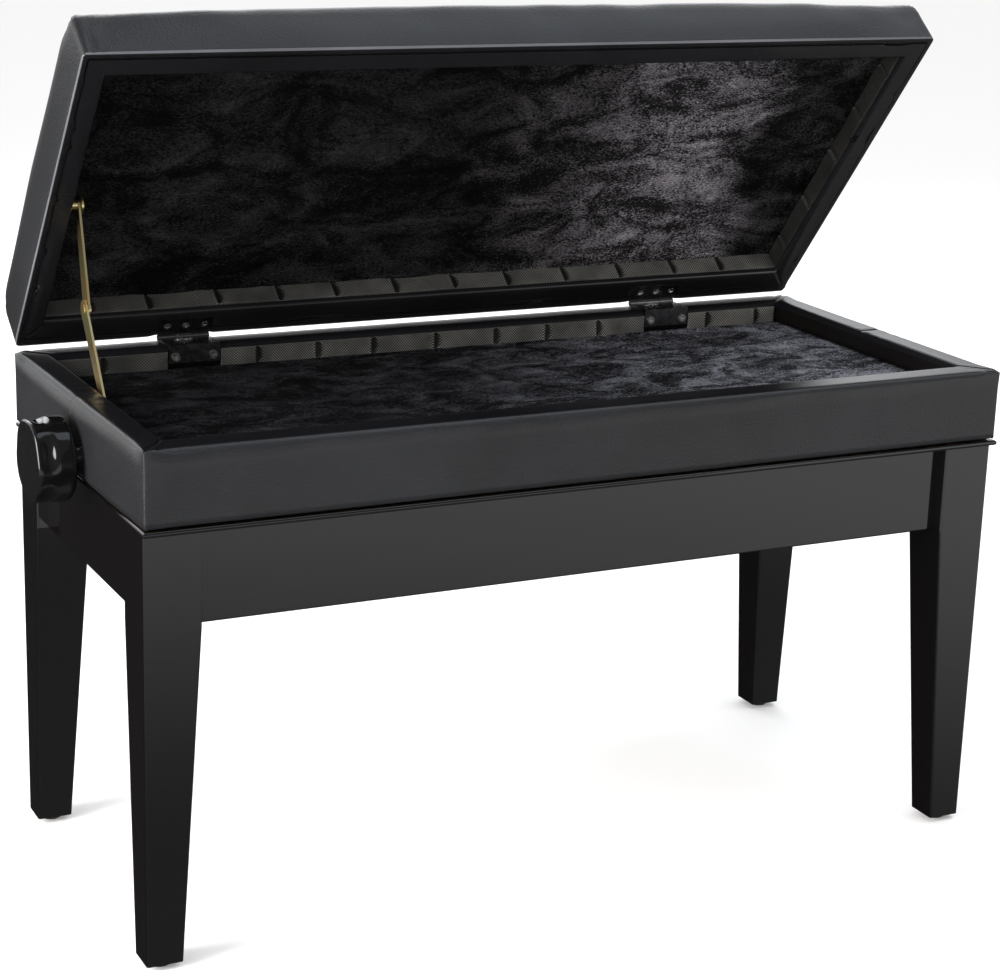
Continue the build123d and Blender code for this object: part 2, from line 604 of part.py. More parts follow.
# ---- lifting gear on the seat box: upper rails, pins, bushes -------------------------------
UPPER_RAIL_BOTTOM = 357.2
UPPER_RAIL_TOP = FLOOR_PANEL_TOP - FLOOR_PANEL_THICK
for end, sy in ENDS:
    upper_rail = angle_rail(sy, UPPER_RAIL_BOTTOM, UPPER_RAIL_TOP, SPINDLE_Z,
                            UPPER_RAIL_TOP - RAIL_THICK, UPPER_SLOT_R)
    upper_rail.part.label = f"lift_upper_rail_{end}"
    export_step(upper_rail.part, f"parts/{upper_rail.part.label}.step")

UPPER_PIN_GAP = 0.8         # between the pins' inner heads and the inner arms
with BuildPart() as upper_pivot_pins:
    for sy in (-1, 1):
        inner_end = across(sy * (INNER_ARM_Y - UPPER_PIN_GAP))
        add_disc(inner_end, (FIXED_PIVOT_X, SPINDLE_Z), ROD_R,
                 -sy * (ROD_HALF - INNER_ARM_Y + UPPER_PIN_GAP))
        add_disc(inner_end, (FIXED_PIVOT_X, SPINDLE_Z), ROD_HEAD_R, sy * ROD_HEAD)
        add_disc(across(sy * ROD_HALF), (FIXED_PIVOT_X, SPINDLE_Z), ROD_HEAD_R, sy * ROD_HEAD)
upper_pivot_pins.part.label = "upper_pivot_pins"
export_step(upper_pivot_pins.part, "parts/upper_pivot_pins.step")

with BuildPart() as spindle_bushes:
    for sx in (-1, 1):
        add_disc(SIDE.offset(sx * CAVITY_X), (0, SPINDLE_Z), BUSH_R, sx * (HALF_W - CAVITY_X))
        add_disc(SIDE.offset(sx * HALF_W), (0, SPINDLE_Z), BUSH_FLANGE_R, sx * BUSH_FLANGE)
    add_disc(SIDE.offset(-KNOB_FACE), (0, SPINDLE_Z), SPINDLE_R + ROD_FIT, 2 * KNOB_FACE, Mode.SUBTRACT)
spindle_bushes.part.label = "spindle_bushes"
export_step(spindle_bushes.part, "parts/spindle_bushes.step")

# ---- spindle, its nut and the two knobs ----------------------------------------------------
SPINDLE_HALF = KNOB_FACE - 10.0
NUT_SIZE = (30.0, 26.0, 24.0)
with BuildPart() as lift_spindle:
    add_disc(SIDE.offset(-SPINDLE_HALF), (0, SPINDLE_Z), SPINDLE_R, 2 * SPINDLE_HALF)
    chamfer(lift_spindle.edges(), 0.8)
lift_spindle.part.label = "lift_spindle"
export_step(lift_spindle.part, "parts/lift_spindle.step")

with BuildPart() as spindle_nut:
    with BuildSketch(PLAN.offset(SPINDLE_Z - NUT_SIZE[2] / 2)):
        with Locations((SLIDING_X, 0)):
            Rectangle(NUT_SIZE[0], NUT_SIZE[1])
    extrude(amount=NUT_SIZE[2])
    chamfer(spindle_nut.edges(), 1.0)
    add_disc(across(ROD_HALF), (SLIDING_X, SPINDLE_Z), ROD_R, 2 * ROD_HALF)
    for sy in (-1, 1):
        add_disc(across(sy * ROD_HALF), (SLIDING_X, SPINDLE_Z), ROD_HEAD_R, sy * ROD_HEAD)
    add_disc(SIDE, (0, SPINDLE_Z), SPINDLE_R + ROD_FIT, 2 * SLIDING_X, Mode.SUBTRACT)
spindle_nut.part.label = "spindle_nut"
export_step(spindle_nut.part, "parts/spindle_nut.step")

KNOB_CHAMFER = 2.5          # round the knob's back
FACE_ROUND = 2.6            # rounding round the knob's outer face
FLUTE_DEPTH = 4.2
FLUTE_R = 20.0
FLUTE_END = 14.5            # the flutes run this far back from the outer face
FLUTE_TURN = 193.0          # where the first flute is, from the back, anticlockwise seen from +X
for side, sx in SIDES:
    with BuildPart() as knob:
        add_disc(SIDE.offset(sx * KNOB_FACE), (0, SPINDLE_Z), KNOB_R, -sx * KNOB_DEPTH)
        chamfer(knob.edges().sort_by(Axis.X)[-1 if sx < 0 else 0], KNOB_CHAMFER)
        with BuildSketch(Plane(origin=(sx * KNOB_FACE, MID_Y, SPINDLE_Z), x_dir=(0, 1, 0),
                               z_dir=(1, 0, 0))):
            with PolarLocations(KNOB_R - FLUTE_DEPTH + FLUTE_R, FLUTES, start_angle=FLUTE_TURN):
                Circle(FLUTE_R)
        extrude(amount=-sx * FLUTE_END, mode=Mode.SUBTRACT)
        outer_face = knob.faces().sort_by(Axis.X)[0 if sx < 0 else -1]
        fillet(outer_face.edges(), FACE_ROUND)
        add_disc(SIDE, (0, SPINDLE_Z), SPINDLE_R, sx * SPINDLE_HALF, Mode.SUBTRACT)
    knob.part.label = f"knob_{side}"
    export_step(knob.part, f"parts/{knob.part.label}.step")

# ---- hinges: box leaf over the rear rim, lid leaf under the lid, pin -----------------------
SEGMENT = HINGE_LENGTH / 3
SEGMENT_GAP = 0.3
HINGE_CENTRES = (-HINGE_X, HINGE_X)
LEAF_TOP = BOX_TOP - LEAF_SINK + LEAF
LEAF_DROP = 400.6
LEAF_FRONT = INNER_REAR - LEAF
LID_LEAF_REACH = 20.0
SCREWS_X = 16.8
BOX_SCREWS_Z = 406.3
BOX_SCREW_HEAD = 1.3
BOX_SCREW_HEAD_R = 3.6
CROSS_LENGTH = 3.4          # cross recess in the screw heads
CROSS_WIDTH = 0.9
CROSS_DEPTH = 0.8
LID_SCREWS_Y = 11.0
PIN_Y = lid_point(HINGE_Y, HINGE_Z)[0]
HINGE_AXIS = (HINGE_Y, HINGE_Z)
with BuildPart() as hinge_box_leaves:
    for x in HINGE_CENTRES:
        with BuildSketch(PLAN.offset(LEAF_TOP - LEAF)):
            with Locations((x, (LEAF_FRONT + HINGE_Y - KNUCKLE_R - SEGMENT_GAP) / 2)):
                Rectangle(HINGE_LENGTH, HINGE_Y - KNUCKLE_R - SEGMENT_GAP - LEAF_FRONT)
            with Locations((x, HINGE_Y - KNUCKLE_R)):
                Rectangle(SEGMENT - 2 * SEGMENT_GAP, 2 * KNUCKLE_R)
        extrude(amount=LEAF)
        with BuildSketch(PLAN.offset(LEAF_DROP)):
            with Locations((x, LEAF_FRONT + LEAF / 2)):
                Rectangle(HINGE_LENGTH, LEAF)
        extrude(amount=LEAF_TOP - LEAF_DROP)
        knuckle = SEGMENT - 2 * SEGMENT_GAP
        add_disc(SIDE.offset(x - knuckle / 2), HINGE_AXIS, KNUCKLE_R, knuckle)
        add_disc(SIDE.offset(x - SEGMENT / 2), HINGE_AXIS, PIN_R, SEGMENT, Mode.SUBTRACT)
        for dx in (-SCREWS_X, SCREWS_X):
            add_disc(across(INNER_REAR), (x + dx, BOX_SCREWS_Z), SCREW_R + FREE, 2 * LEAF,
                     Mode.SUBTRACT)
hinge_box_leaves.part.label = "hinge_box_leaves"
export_step(hinge_box_leaves.part, "parts/hinge_box_leaves.step")

with BuildPart() as hinge_box_screws:
    for x in HINGE_CENTRES:
        for dx in (-SCREWS_X, SCREWS_X):
            add_disc(across(INNER_REAR), (x + dx, BOX_SCREWS_Z), SCREW_R, LEAF)
            add_disc(across(LEAF_FRONT), (x + dx, BOX_SCREWS_Z), BOX_SCREW_HEAD_R, BOX_SCREW_HEAD)
            with BuildSketch(across(LEAF_FRONT - BOX_SCREW_HEAD)):
                with Locations((x + dx, BOX_SCREWS_Z)):
                    Rectangle(CROSS_LENGTH, CROSS_WIDTH)
                    Rectangle(CROSS_WIDTH, CROSS_LENGTH)
            extrude(amount=-CROSS_DEPTH, mode=Mode.SUBTRACT)
hinge_box_screws.part.label = "hinge_box_screws"
export_step(hinge_box_screws.part, "parts/hinge_box_screws.step")

with BuildPart() as hinge_pins:
    for x in HINGE_CENTRES:
        add_disc(SIDE.offset(x - HINGE_LENGTH / 2), HINGE_AXIS, PIN_R, HINGE_LENGTH)
hinge_pins.part.label = "hinge_pins"
export_step(hinge_pins.part, "parts/hinge_pins.step")

LID_LEAF_LOW = -0.6         # local z of the lid leaf's underside
LEAF_TONGUE = 0.4           # the leaf reaches this far past the pin axis
KNUCKLE_CUT = 1.0           # the cut for the box leaf's knuckle runs this far past the leaf
with BuildPart() as hinge_lid_leaves:
    for x in HINGE_CENTRES:
        with BuildSketch(LID.offset(LID_LEAF_LOW)):
            with Locations((x, -LID_LEAF_REACH / 2)):
                Rectangle(HINGE_LENGTH, LID_LEAF_REACH)
            for sx in (-1, 1):
                with Locations((x + sx * SEGMENT, PIN_Y / 2)):
                    Rectangle(SEGMENT, PIN_Y + LEAF_TONGUE)
        extrude(amount=LEAF)
        with BuildSketch(LID.offset(LID_LEAF_LOW - KNUCKLE_CUT)):
            with Locations((x, PIN_Y)):
                Rectangle(SEGMENT, 2 * (KNUCKLE_R + SEGMENT_GAP))
        extrude(amount=LEAF + 2 * KNUCKLE_CUT, mode=Mode.SUBTRACT)
        for low in (x - HINGE_LENGTH / 2, x + SEGMENT / 2):
            add_disc(SIDE.offset(low), HINGE_AXIS, KNUCKLE_R, SEGMENT)
            add_disc(SIDE.offset(low), HINGE_AXIS, PIN_R + PIN_FIT, SEGMENT, Mode.SUBTRACT)
        for dx in (-SCREWS_X, 0, SCREWS_X):
            add_disc(LID, (x + dx, -LID_SCREWS_Y), SCREW_R + FREE, LEAF, Mode.SUBTRACT)
            add_disc(LID, (x + dx, -LID_SCREWS_Y), SCREW_R + FREE, -LEAF, Mode.SUBTRACT)
hinge_lid_leaves.part.label = "hinge_lid_leaves"
export_step(hinge_lid_leaves.part, "parts/hinge_lid_leaves.step")

# Countersunk heads lie almost flush with the leaf, so the lid can close.
LID_SCREW_HEAD_R = 3.4
LID_SCREW_HEAD = 0.25
with BuildPart() as hinge_lid_screws:
    for x in HINGE_CENTRES:
        spots = [(x + dx, -LID_SCREWS_Y) for dx in (-SCREWS_X, 0, SCREWS_X)]
        with BuildSketch(LID.offset(LID_LEAF_LOW - LID_SCREW_HEAD)):
            with Locations(*spots):
                Circle(LID_SCREW_HEAD_R)
                Rectangle(CROSS_LENGTH, CROSS_WIDTH, mode=Mode.SUBTRACT)
                Rectangle(CROSS_WIDTH, CROSS_LENGTH, mode=Mode.SUBTRACT)
        extrude(amount=LID_SCREW_HEAD)
        with BuildSketch(LID.offset(LID_LEAF_LOW)):
            with Locations(*spots):
                Circle(SCREW_R)
        extrude(amount=LEAF)
hinge_lid_screws.part.label = "hinge_lid_screws"
export_step(hinge_lid_screws.part, "parts/hinge_lid_screws.step")

# ---- lid: frame, panel, foam, vinyl, lining, webbing ---------------------------------------
FRAME_W = LID_WIDTH - 2 * VINYL
FRAME_L = LID_LENGTH - 2 * VINYL
LID_MID = -LID_LENGTH / 2
RECESS_W = LID_WIDTH - 2 * LID_SIDE_RIM
RECESS_L = LID_LENGTH - LID_FRONT_RIM - LID_REAR_RIM
RECESS_MID = -LID_REAR_RIM - RECESS_L / 2
PANEL_TOP = LID_RAIL_TOP + LID_PANEL_THICK
FOAM_TOP = LID_THICK - VINYL

with BuildPart() as lid_frame:
    with BuildSketch(LID.offset(VINYL)):
        with Locations((0, LID_MID)):
            RectangleRounded(FRAME_W, FRAME_L, LID_CORNER - VINYL)
        with Locations((0, RECESS_MID)):
            Rectangle(RECESS_W, RECESS_L, mode=Mode.SUBTRACT)
    extrude(amount=LID_RAIL_TOP - VINYL)
lid_frame.part.label = "lid_frame"
export_step(lid_frame.part, "parts/lid_frame.step")

with BuildPart() as lid_panel:
    with BuildSketch(LID.offset(LID_RAIL_TOP)):
        with Locations((0, LID_MID)):
            RectangleRounded(FRAME_W, FRAME_L, LID_CORNER - VINYL)
    extrude(amount=LID_PANEL_THICK)
lid_panel.part.label = "lid_panel"
export_step(lid_panel.part, "parts/lid_panel.step")

with BuildPart() as lid_foam:
    with BuildSketch(LID.offset(PANEL_TOP)):
        with Locations((0, LID_MID)):
            RectangleRounded(FRAME_W, FRAME_L, LID_CORNER - VINYL)
    extrude(amount=FOAM_TOP - PANEL_TOP)
    top_face = lid_foam.faces().sort_by(Axis(LID.origin, LID.z_dir))[-1]
    fillet(top_face.edges(), LID_ROUND - VINYL)
lid_foam.part.label = "lid_foam"
export_step(lid_foam.part, "parts/lid_foam.step")

with BuildPart() as lid_vinyl_cover:
    with BuildSketch(LID):
        with Locations((0, LID_MID)):
            RectangleRounded(LID_WIDTH, LID_LENGTH, LID_CORNER)
    extrude(amount=LID_THICK)
    top_face = lid_vinyl_cover.faces().sort_by(Axis(LID.origin, LID.z_dir))[-1]
    fillet(top_face.edges(), LID_ROUND)
    with BuildSketch(LID.offset(VINYL)):
        with Locations((0, LID_MID)):
            RectangleRounded(FRAME_W, FRAME_L, LID_CORNER - VINYL)
    extrude(amount=PANEL_TOP - VINYL, mode=Mode.SUBTRACT)
    add(lid_foam.part, mode=Mode.SUBTRACT)
    with BuildSketch(LID.offset(-1)):
        with Locations((0, RECESS_MID)):
            Rectangle(RECESS_W, RECESS_L)
    extrude(amount=VINYL + 2, mode=Mode.SUBTRACT)
    with BuildSketch(LID.offset(LID_LEAF_LOW)):
        with Locations(*[(x, -LID_LEAF_REACH / 2) for x in HINGE_CENTRES]):
            Rectangle(HINGE_LENGTH + 1, LID_LEAF_REACH + 1)
    extrude(amount=LEAF, mode=Mode.SUBTRACT)
lid_vinyl_cover.part.label = "lid_vinyl_cover"
export_step(lid_vinyl_cover.part, "parts/lid_vinyl_cover.step")

with BuildPart() as lid_lining:
    with BuildSketch(LID.offset(LID_RAIL_TOP - LID_LINING)):
        with Locations((0, RECESS_MID)):
            Rectangle(RECESS_W, RECESS_L)
    extrude(amount=LID_LINING)
lid_lining.part.label = "lid_lining"
export_step(lid_lining.part, "parts/lid_lining.step")

with BuildPart() as lid_webbing_strip:
    with BuildSketch(LID.offset(VINYL)):
        with Locations((0, -LID_REAR_RIM - WEBBING / 2)):
            Rectangle(2 * WEBBING_HALF, WEBBING)
    extrude(amount=LID_RAIL_TOP - LID_LINING - VINYL)
lid_webbing_strip.part.label = "lid_webbing_strip"
export_step(lid_webbing_strip.part, "parts/lid_webbing_strip.step")

# ---- lid stay: two flat arms with a bracket on the lid and one in the box ------------------
UPPER_ENDS = (4.6, 7.6)     # half width of the upper arm at the lid and at the elbow
LOWER_ENDS = (7.6, 5.4)     # half width of the lower arm at the elbow and at its foot
STAY_FIT = 0.08
SIDE_GAP = 0.3              # between an arm and whatever it turns beside
ELBOW_HEAD_R = 4.6
ELBOW_HEAD = 1.4            # on the upper arm
ELBOW_TAIL = 0.8            # on the lower arm's other face


def stay_arm(face_x, start, finish, start_r, finish_r):
    """Flat bar with round ends of different radii, in the side view."""
    with BuildPart() as piece:
        with BuildSketch(SIDE.offset(face_x)):
            with Locations(start):
                Circle(start_r)
            with Locations(finish):
                Circle(finish_r)
            make_hull()
        extrude(amount=ARM_THICK)
    return piece


UPPER_ARM_IN = UPPER_ARM_X + ARM_THICK
LOWER_ARM_IN = LOWER_ARM_X + ARM_THICK
RIVET_HOLE = STAY_RIVET_R + STAY_FIT
stay_upper_arm = stay_arm(UPPER_ARM_X, STAY_TOP, STAY_ELBOW, *UPPER_ENDS)
with stay_upper_arm:
    add_disc(SIDE.offset(UPPER_ARM_IN), STAY_ELBOW, ELBOW_HEAD_R, ELBOW_HEAD)
    add_disc(SIDE.offset(UPPER_ARM_X), STAY_TOP, RIVET_HOLE, ARM_THICK, Mode.SUBTRACT)
stay_upper_arm.part.label = "stay_upper_arm"
export_step(stay_upper_arm.part, "parts/stay_upper_arm.step")

stay_lower_arm = stay_arm(LOWER_ARM_X, STAY_ELBOW, STAY_FOOT, *LOWER_ENDS)
with stay_lower_arm:
    add_disc(SIDE.offset(LOWER_ARM_X), STAY_ELBOW, ELBOW_HEAD_R, -ELBOW_TAIL)
    add_disc(SIDE.offset(LOWER_ARM_X), STAY_FOOT, RIVET_HOLE, ARM_THICK, Mode.SUBTRACT)
stay_lower_arm.part.label = "stay_lower_arm"
export_step(stay_lower_arm.part, "parts/stay_lower_arm.step")

LID_WALL_X = -RECESS_W / 2
LID_PLATE = 1.5
LID_PLATE_SIZE = (34.0, 16.0)
STAY_BOSS_R = 4.0
STAY_CAP_R = 8.0            # dished cap over the upper rivet
STAY_CAP = 1.6
STAY_DIMPLE_R = 5.6
PLATE_FACE_X = LID_WALL_X + LID_PLATE
STAY_CAP_X = UPPER_ARM_IN + SIDE_GAP
STAY_LID_Y, STAY_LID_Z = lid_point(*STAY_TOP)
with BuildPart() as stay_upper_bracket:
    with BuildSketch(LID.offset(STAY_LID_Z - LID_PLATE_SIZE[1] / 2)):
        with Locations((LID_WALL_X + LID_PLATE / 2, STAY_LID_Y)):
            Rectangle(LID_PLATE, LID_PLATE_SIZE[0])
    extrude(amount=LID_PLATE_SIZE[1])
    add_disc(SIDE.offset(PLATE_FACE_X), STAY_TOP, STAY_BOSS_R, UPPER_ARM_X - SIDE_GAP - PLATE_FACE_X)
    add_disc(SIDE.offset(PLATE_FACE_X), STAY_TOP, STAY_RIVET_R, STAY_CAP_X - PLATE_FACE_X)
    add_disc(SIDE.offset(STAY_CAP_X), STAY_TOP, STAY_CAP_R, STAY_CAP)
    add_disc(SIDE.offset(STAY_CAP_X + STAY_CAP / 2), STAY_TOP, STAY_DIMPLE_R, STAY_CAP / 2, Mode.SUBTRACT)
stay_upper_bracket.part.label = "stay_upper_bracket"
export_step(stay_upper_bracket.part, "parts/stay_upper_bracket.step")

BOX_PLATE = 0.9
BOX_PLATE_SIZE = (36.0, 13.0)
BOX_PLATE_DROP = 7.0        # from the foot pivot down to the plate's lower edge
FOOT_HEAD_R = 4.4
FOOT_HEAD = 0.9
with BuildPart() as stay_lower_bracket:
    with BuildSketch(PLAN.offset(STAY_FOOT[1] - BOX_PLATE_DROP)):
        with Locations((-INNER_X + BOX_PLATE / 2, STAY_FOOT[0])):
            Rectangle(BOX_PLATE, BOX_PLATE_SIZE[0])
    extrude(amount=BOX_PLATE_SIZE[1])
    add_disc(SIDE.offset(-INNER_X), STAY_FOOT, STAY_RIVET_R, LOWER_ARM_IN + SIDE_GAP + INNER_X)
    add_disc(SIDE.offset(LOWER_ARM_IN + SIDE_GAP), STAY_FOOT, FOOT_HEAD_R, FOOT_HEAD)
stay_lower_bracket.part.label = "stay_lower_bracket"
export_step(stay_lower_bracket.part, "parts/stay_lower_bracket.step")

# ---- figures the joints need ---------------------------------------------------------------
print("mid y", round(MID_Y, 3))
print("arm angles", round(degrees(ARM_ANGLE), 4), round(degrees(ARM_ANGLE_RAISED), 4))
print("sliding pivots x", round(SLIDING_X, 3), round(SLIDING_X_RAISED, 3))
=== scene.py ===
"""Visual model of the piano bench: vinyl, velvet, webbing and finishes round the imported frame."""

import json
from math import cos, pi, radians, sin

import bpy
import numpy as np
from mathutils import Matrix, Vector, kdtree


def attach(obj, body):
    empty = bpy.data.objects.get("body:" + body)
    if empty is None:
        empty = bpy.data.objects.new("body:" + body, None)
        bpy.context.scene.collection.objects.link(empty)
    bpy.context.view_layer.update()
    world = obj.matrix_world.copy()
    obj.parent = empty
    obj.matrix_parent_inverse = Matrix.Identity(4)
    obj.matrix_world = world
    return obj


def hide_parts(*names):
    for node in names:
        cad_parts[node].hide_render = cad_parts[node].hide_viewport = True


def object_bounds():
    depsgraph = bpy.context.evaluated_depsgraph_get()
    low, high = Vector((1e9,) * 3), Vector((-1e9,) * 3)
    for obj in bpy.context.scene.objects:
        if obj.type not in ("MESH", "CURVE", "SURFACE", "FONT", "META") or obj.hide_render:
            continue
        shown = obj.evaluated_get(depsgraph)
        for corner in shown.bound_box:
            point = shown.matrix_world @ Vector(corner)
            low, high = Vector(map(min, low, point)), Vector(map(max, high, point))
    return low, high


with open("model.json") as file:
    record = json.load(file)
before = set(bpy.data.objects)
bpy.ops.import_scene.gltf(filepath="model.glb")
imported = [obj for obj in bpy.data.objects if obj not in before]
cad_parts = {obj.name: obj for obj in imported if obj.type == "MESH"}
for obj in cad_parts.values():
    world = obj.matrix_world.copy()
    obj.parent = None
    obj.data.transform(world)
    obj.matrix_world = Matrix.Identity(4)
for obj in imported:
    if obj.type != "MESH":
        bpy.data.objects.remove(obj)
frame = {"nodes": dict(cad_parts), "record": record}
CAD_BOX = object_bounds()
NODES = frame["nodes"]
SLOTS = {s["node"]: s["material_slot"] for s in frame["record"]["subparts"]}

# ---- places, from the frame and a few given numbers -----------------------------------------
LEAN = radians(51.15)                    # how far the lid stands open at rest
# Lid axes: along the bench, towards the hinges, up through the cushion.
LID_AXES = np.array([[1, 0, 0], [0, cos(LEAN), -sin(LEAN)], [0, sin(LEAN), cos(LEAN)]])


def corners_of(node, axes=np.eye(3)):
    """Lowest and highest corner of a CAD node, measured along the given axes."""
    co = np.array([v.co for v in NODES[node].data.vertices]) @ axes.T
    return co.min(0), co.max(0)


LID_LOW, LID_HIGH = corners_of("lid_vinyl_cover", LID_AXES)
LID_ORIGIN = np.array([0, LID_HIGH[1], LID_LOW[2]])
LID_X = LID_HIGH[0]
LID_Y = LID_HIGH[1] - LID_LOW[1]
LID_N = LID_HIGH[2] - LID_LOW[2]


def lid_range(node):
    """A CAD node's lowest and highest corner in the lid's own coordinates."""
    low, high = corners_of(node, LID_AXES)
    return low - LID_ORIGIN, high - LID_ORIGIN


LINING_LOW, LINING_HIGH = lid_range("lid_lining")
BOX_LOW, BOX_HIGH = corners_of("box_vinyl_cover")
FLOOR_LOW, FLOOR_HIGH = corners_of("box_floor_lining")
SIDE_RIM = FLOOR_LOW[0] - BOX_LOW[0]
HINGE_LOW, HINGE_HIGH = corners_of("hinge_box_leaves")
LEAF = 0.047             # length of a hinge leaf with its clearance


def to_world(points):
    """Lid coordinates to the bench's own."""
    return (np.asarray(points) + LID_ORIGIN) @ LID_AXES


# ---- small tools ----------------------------------------------------------------------------
def ripple(points, wavelength, seed, waves=16):
    """Smooth random waves over the points, about 1 high."""
    rng = np.random.default_rng(seed)
    directions = rng.normal(size=(waves, 3))
    directions /= np.linalg.norm(directions, axis=1)[:, None]
    turns = 2 * pi / wavelength * rng.uniform(0.6, 1.5, waves)
    phases = rng.uniform(0, 2 * pi, waves)
    return np.sin(np.asarray(points) @ (directions * turns[:, None]).T + phases).sum(1) / np.sqrt(waves / 2)


def smooth(t):
    """0 to 1 with soft ends."""
    t = np.clip(t, 0, 1)
    return t * t * (3 - 2 * t)


def grid_lines(low, high, step, edge=()):
    """Even lines from low to high, with extra ones at the given distances from both ends."""
    inner = edge[-1] if edge else 0
    count = max(2, round((high - low - 2 * inner) / step) + 1)
    middle = np.linspace(low + inner, high - inner, count)
    return np.array([low + e for e in (0, *edge[:-1])][: len(edge)] + list(middle)
                    + [high - e for e in (0, *edge[:-1])][: len(edge)][::-1])


def make_piece(name, points, faces, body, material):
    """Mesh object in the bench's own coordinates, shaded smooth, riding on a body."""
    mesh = bpy.data.meshes.new(name)
    mesh.from_pydata(np.asarray(points).tolist(), [], faces)
    mesh.materials.append(material)
    mesh.polygons.foreach_set("use_smooth", [True] * len(mesh.polygons))
    piece = bpy.data.objects.new(name, mesh)
    bpy.context.scene.collection.objects.link(piece)
    if body:
        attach(piece, body)
    return piece


def grid_rim(nx, ny):
    """Indices round the edge of an nx by ny grid, anticlockwise."""
    return ([i * ny for i in range(nx - 1)] + [(nx - 1) * ny + j for j in range(ny - 1)]
            + [i * ny + ny - 1 for i in range(nx - 1, 0, -1)] + list(range(ny - 1, 0, -1)))


def with_lines(lines, at, spread=(0.0, 0.002, 0.004, 0.008)):
    """Grid lines with extra ones close to the place of a seam."""
    extra = [at + sign * gap for gap in spread for sign in (-1, 1)]
    return np.unique(np.round(np.concatenate([lines, extra]), 6))


def slab(points, nx, ny, depth):
    """Grid of points with a back face at the given offset: closed thin sheet."""
    faces = [(i * ny + j, (i + 1) * ny + j, (i + 1) * ny + j + 1, i * ny + j + 1)
             for i in range(nx - 1) for j in range(ny - 1)]
    total = nx * ny
    faces += [tuple(v + total for v in f[::-1]) for f in faces]
    rim = grid_rim(nx, ny)
    faces += [(rim[(i + 1) % len(rim)], rim[i], rim[i] + total, rim[(i + 1) % len(rim)] + total)
              for i in range(len(rim))]
    return np.concatenate([points, depth]), faces


def loops_to_faces(loops, count, closed):
    """Quads between successive closed loops of count points each."""
    faces = []
    for k in range(loops if closed else loops - 1):
        a, b = k * count, (k + 1) % loops * count
        for i in range(count):
            j = (i + 1) % count
            faces.append((a + i, a + j, b + j, b + i))
    return faces


def boundary(xs, ys):
    """Corner points of a grid's outline, anticlockwise from the low corner."""
    low = [(x, ys[0]) for x in xs[:-1]]
    right = [(xs[-1], y) for y in ys[:-1]]
    high = [(x, ys[-1]) for x in xs[:0:-1]]
    left = [(xs[0], y) for y in ys[:0:-1]]
    return np.array(low + right + high + left)


def fit_outline(outline, low, high, radius):
    """A unit outline (0 to 1 each way) stretched to a rectangle with rounded corners."""
    size = np.array(high) - np.array(low)
    p = outline * size
    r = max(radius, 1e-6)
    centre = np.clip(p, r, size - r)
    away = p - centre
    in_corner = (np.abs(away) > 1e-9).all(1)
    length = np.linalg.norm(away, axis=1)
    reach = np.abs(away).max(1)
    pulled = centre + away / np.maximum(length, 1e-9)[:, None] * reach[:, None]
    return np.where(in_corner[:, None], pulled, p) + np.array(low)


# ---- materials ------------------------------------------------------------------------------
MAP_SOCKETS = ("From Min", "From Max", "To Min", "To Max")


def shader(name, colour, roughness, metallic=0.0, specular=0.5, coat=0.0, sheen=0.0):
    """New material with the constant values set on the shader's own sockets."""
    material = bpy.data.materials.new(name)
    material.use_nodes = True
    tree = material.node_tree
    principled = tree.nodes["Principled BSDF"]
    principled.inputs["Base Color"].default_value = (*colour, 1)
    principled.inputs["Roughness"].default_value = roughness
    principled.inputs["Metallic"].default_value = metallic
    principled.inputs["Specular IOR Level"].default_value = specular
    principled.inputs["Coat Weight"].default_value = coat
    principled.inputs["Coat Roughness"].default_value = 0.04
    principled.inputs["Sheen Weight"].default_value = sheen
    principled.inputs["Sheen Roughness"].default_value = 0.35
    return material, tree, principled


def add_node(tree, kind, **settings):
    """New shader node with its sockets and properties set by name."""
    node = tree.nodes.new(kind)
    for key, value in settings.items():
        if key in node.inputs:
            node.inputs[key].default_value = value
        else:
            setattr(node, key, value)
    return node


def object_place(tree):
    """Object coordinates, which are the bench's own, in metres, on every piece at rest."""
    return tree.nodes.new("ShaderNodeTexCoord").outputs["Object"]


def noise_node(tree, scale, detail=4.0, distortion=0.0, stretch=(1, 1, 1)):
    """Noise over the object, stretched along the axes where asked."""
    mapping = add_node(tree, "ShaderNodeMapping")
    mapping.inputs["Scale"].default_value = stretch
    tree.links.new(object_place(tree), mapping.inputs["Vector"])
    node = add_node(tree, "ShaderNodeTexNoise", Scale=scale, Detail=detail, Distortion=distortion)
    tree.links.new(mapping.outputs["Vector"], node.inputs["Vector"])
    return node


def ramp(tree, source, low, high, colour_low, colour_high):
    """Blend of two colours as source goes from low to high."""
    node = tree.nodes.new("ShaderNodeValToRGB")
    node.color_ramp.elements[0].position = low
    node.color_ramp.elements[1].position = high
    node.color_ramp.elements[0].color = (*colour_low, 1)
    node.color_ramp.elements[1].color = (*colour_high, 1)
    tree.links.new(source, node.inputs["Fac"])
    return node.outputs["Color"]


def bump(tree, principled, source, strength, distance):
    """Relief from a height source, in metres; chains onto the relief already there."""
    node = add_node(tree, "ShaderNodeBump", Strength=strength, Distance=distance)
    tree.links.new(source, node.inputs["Height"])
    old = principled.inputs["Normal"].links
    if old:
        tree.links.new(old[0].from_socket, node.inputs["Normal"])
    tree.links.new(node.outputs["Normal"], principled.inputs["Normal"])


def lacquer():
    """Piano lacquer: deep black, almost mirror smooth, the faintest orange peel."""
    material, tree, principled = shader("piano_lacquer", (0.0022, 0.0018, 0.0018), 0.06, specular=0.5)
    bump(tree, principled, noise_node(tree, 60, 2).outputs["Fac"], 0.05, 0.0002)
    return material


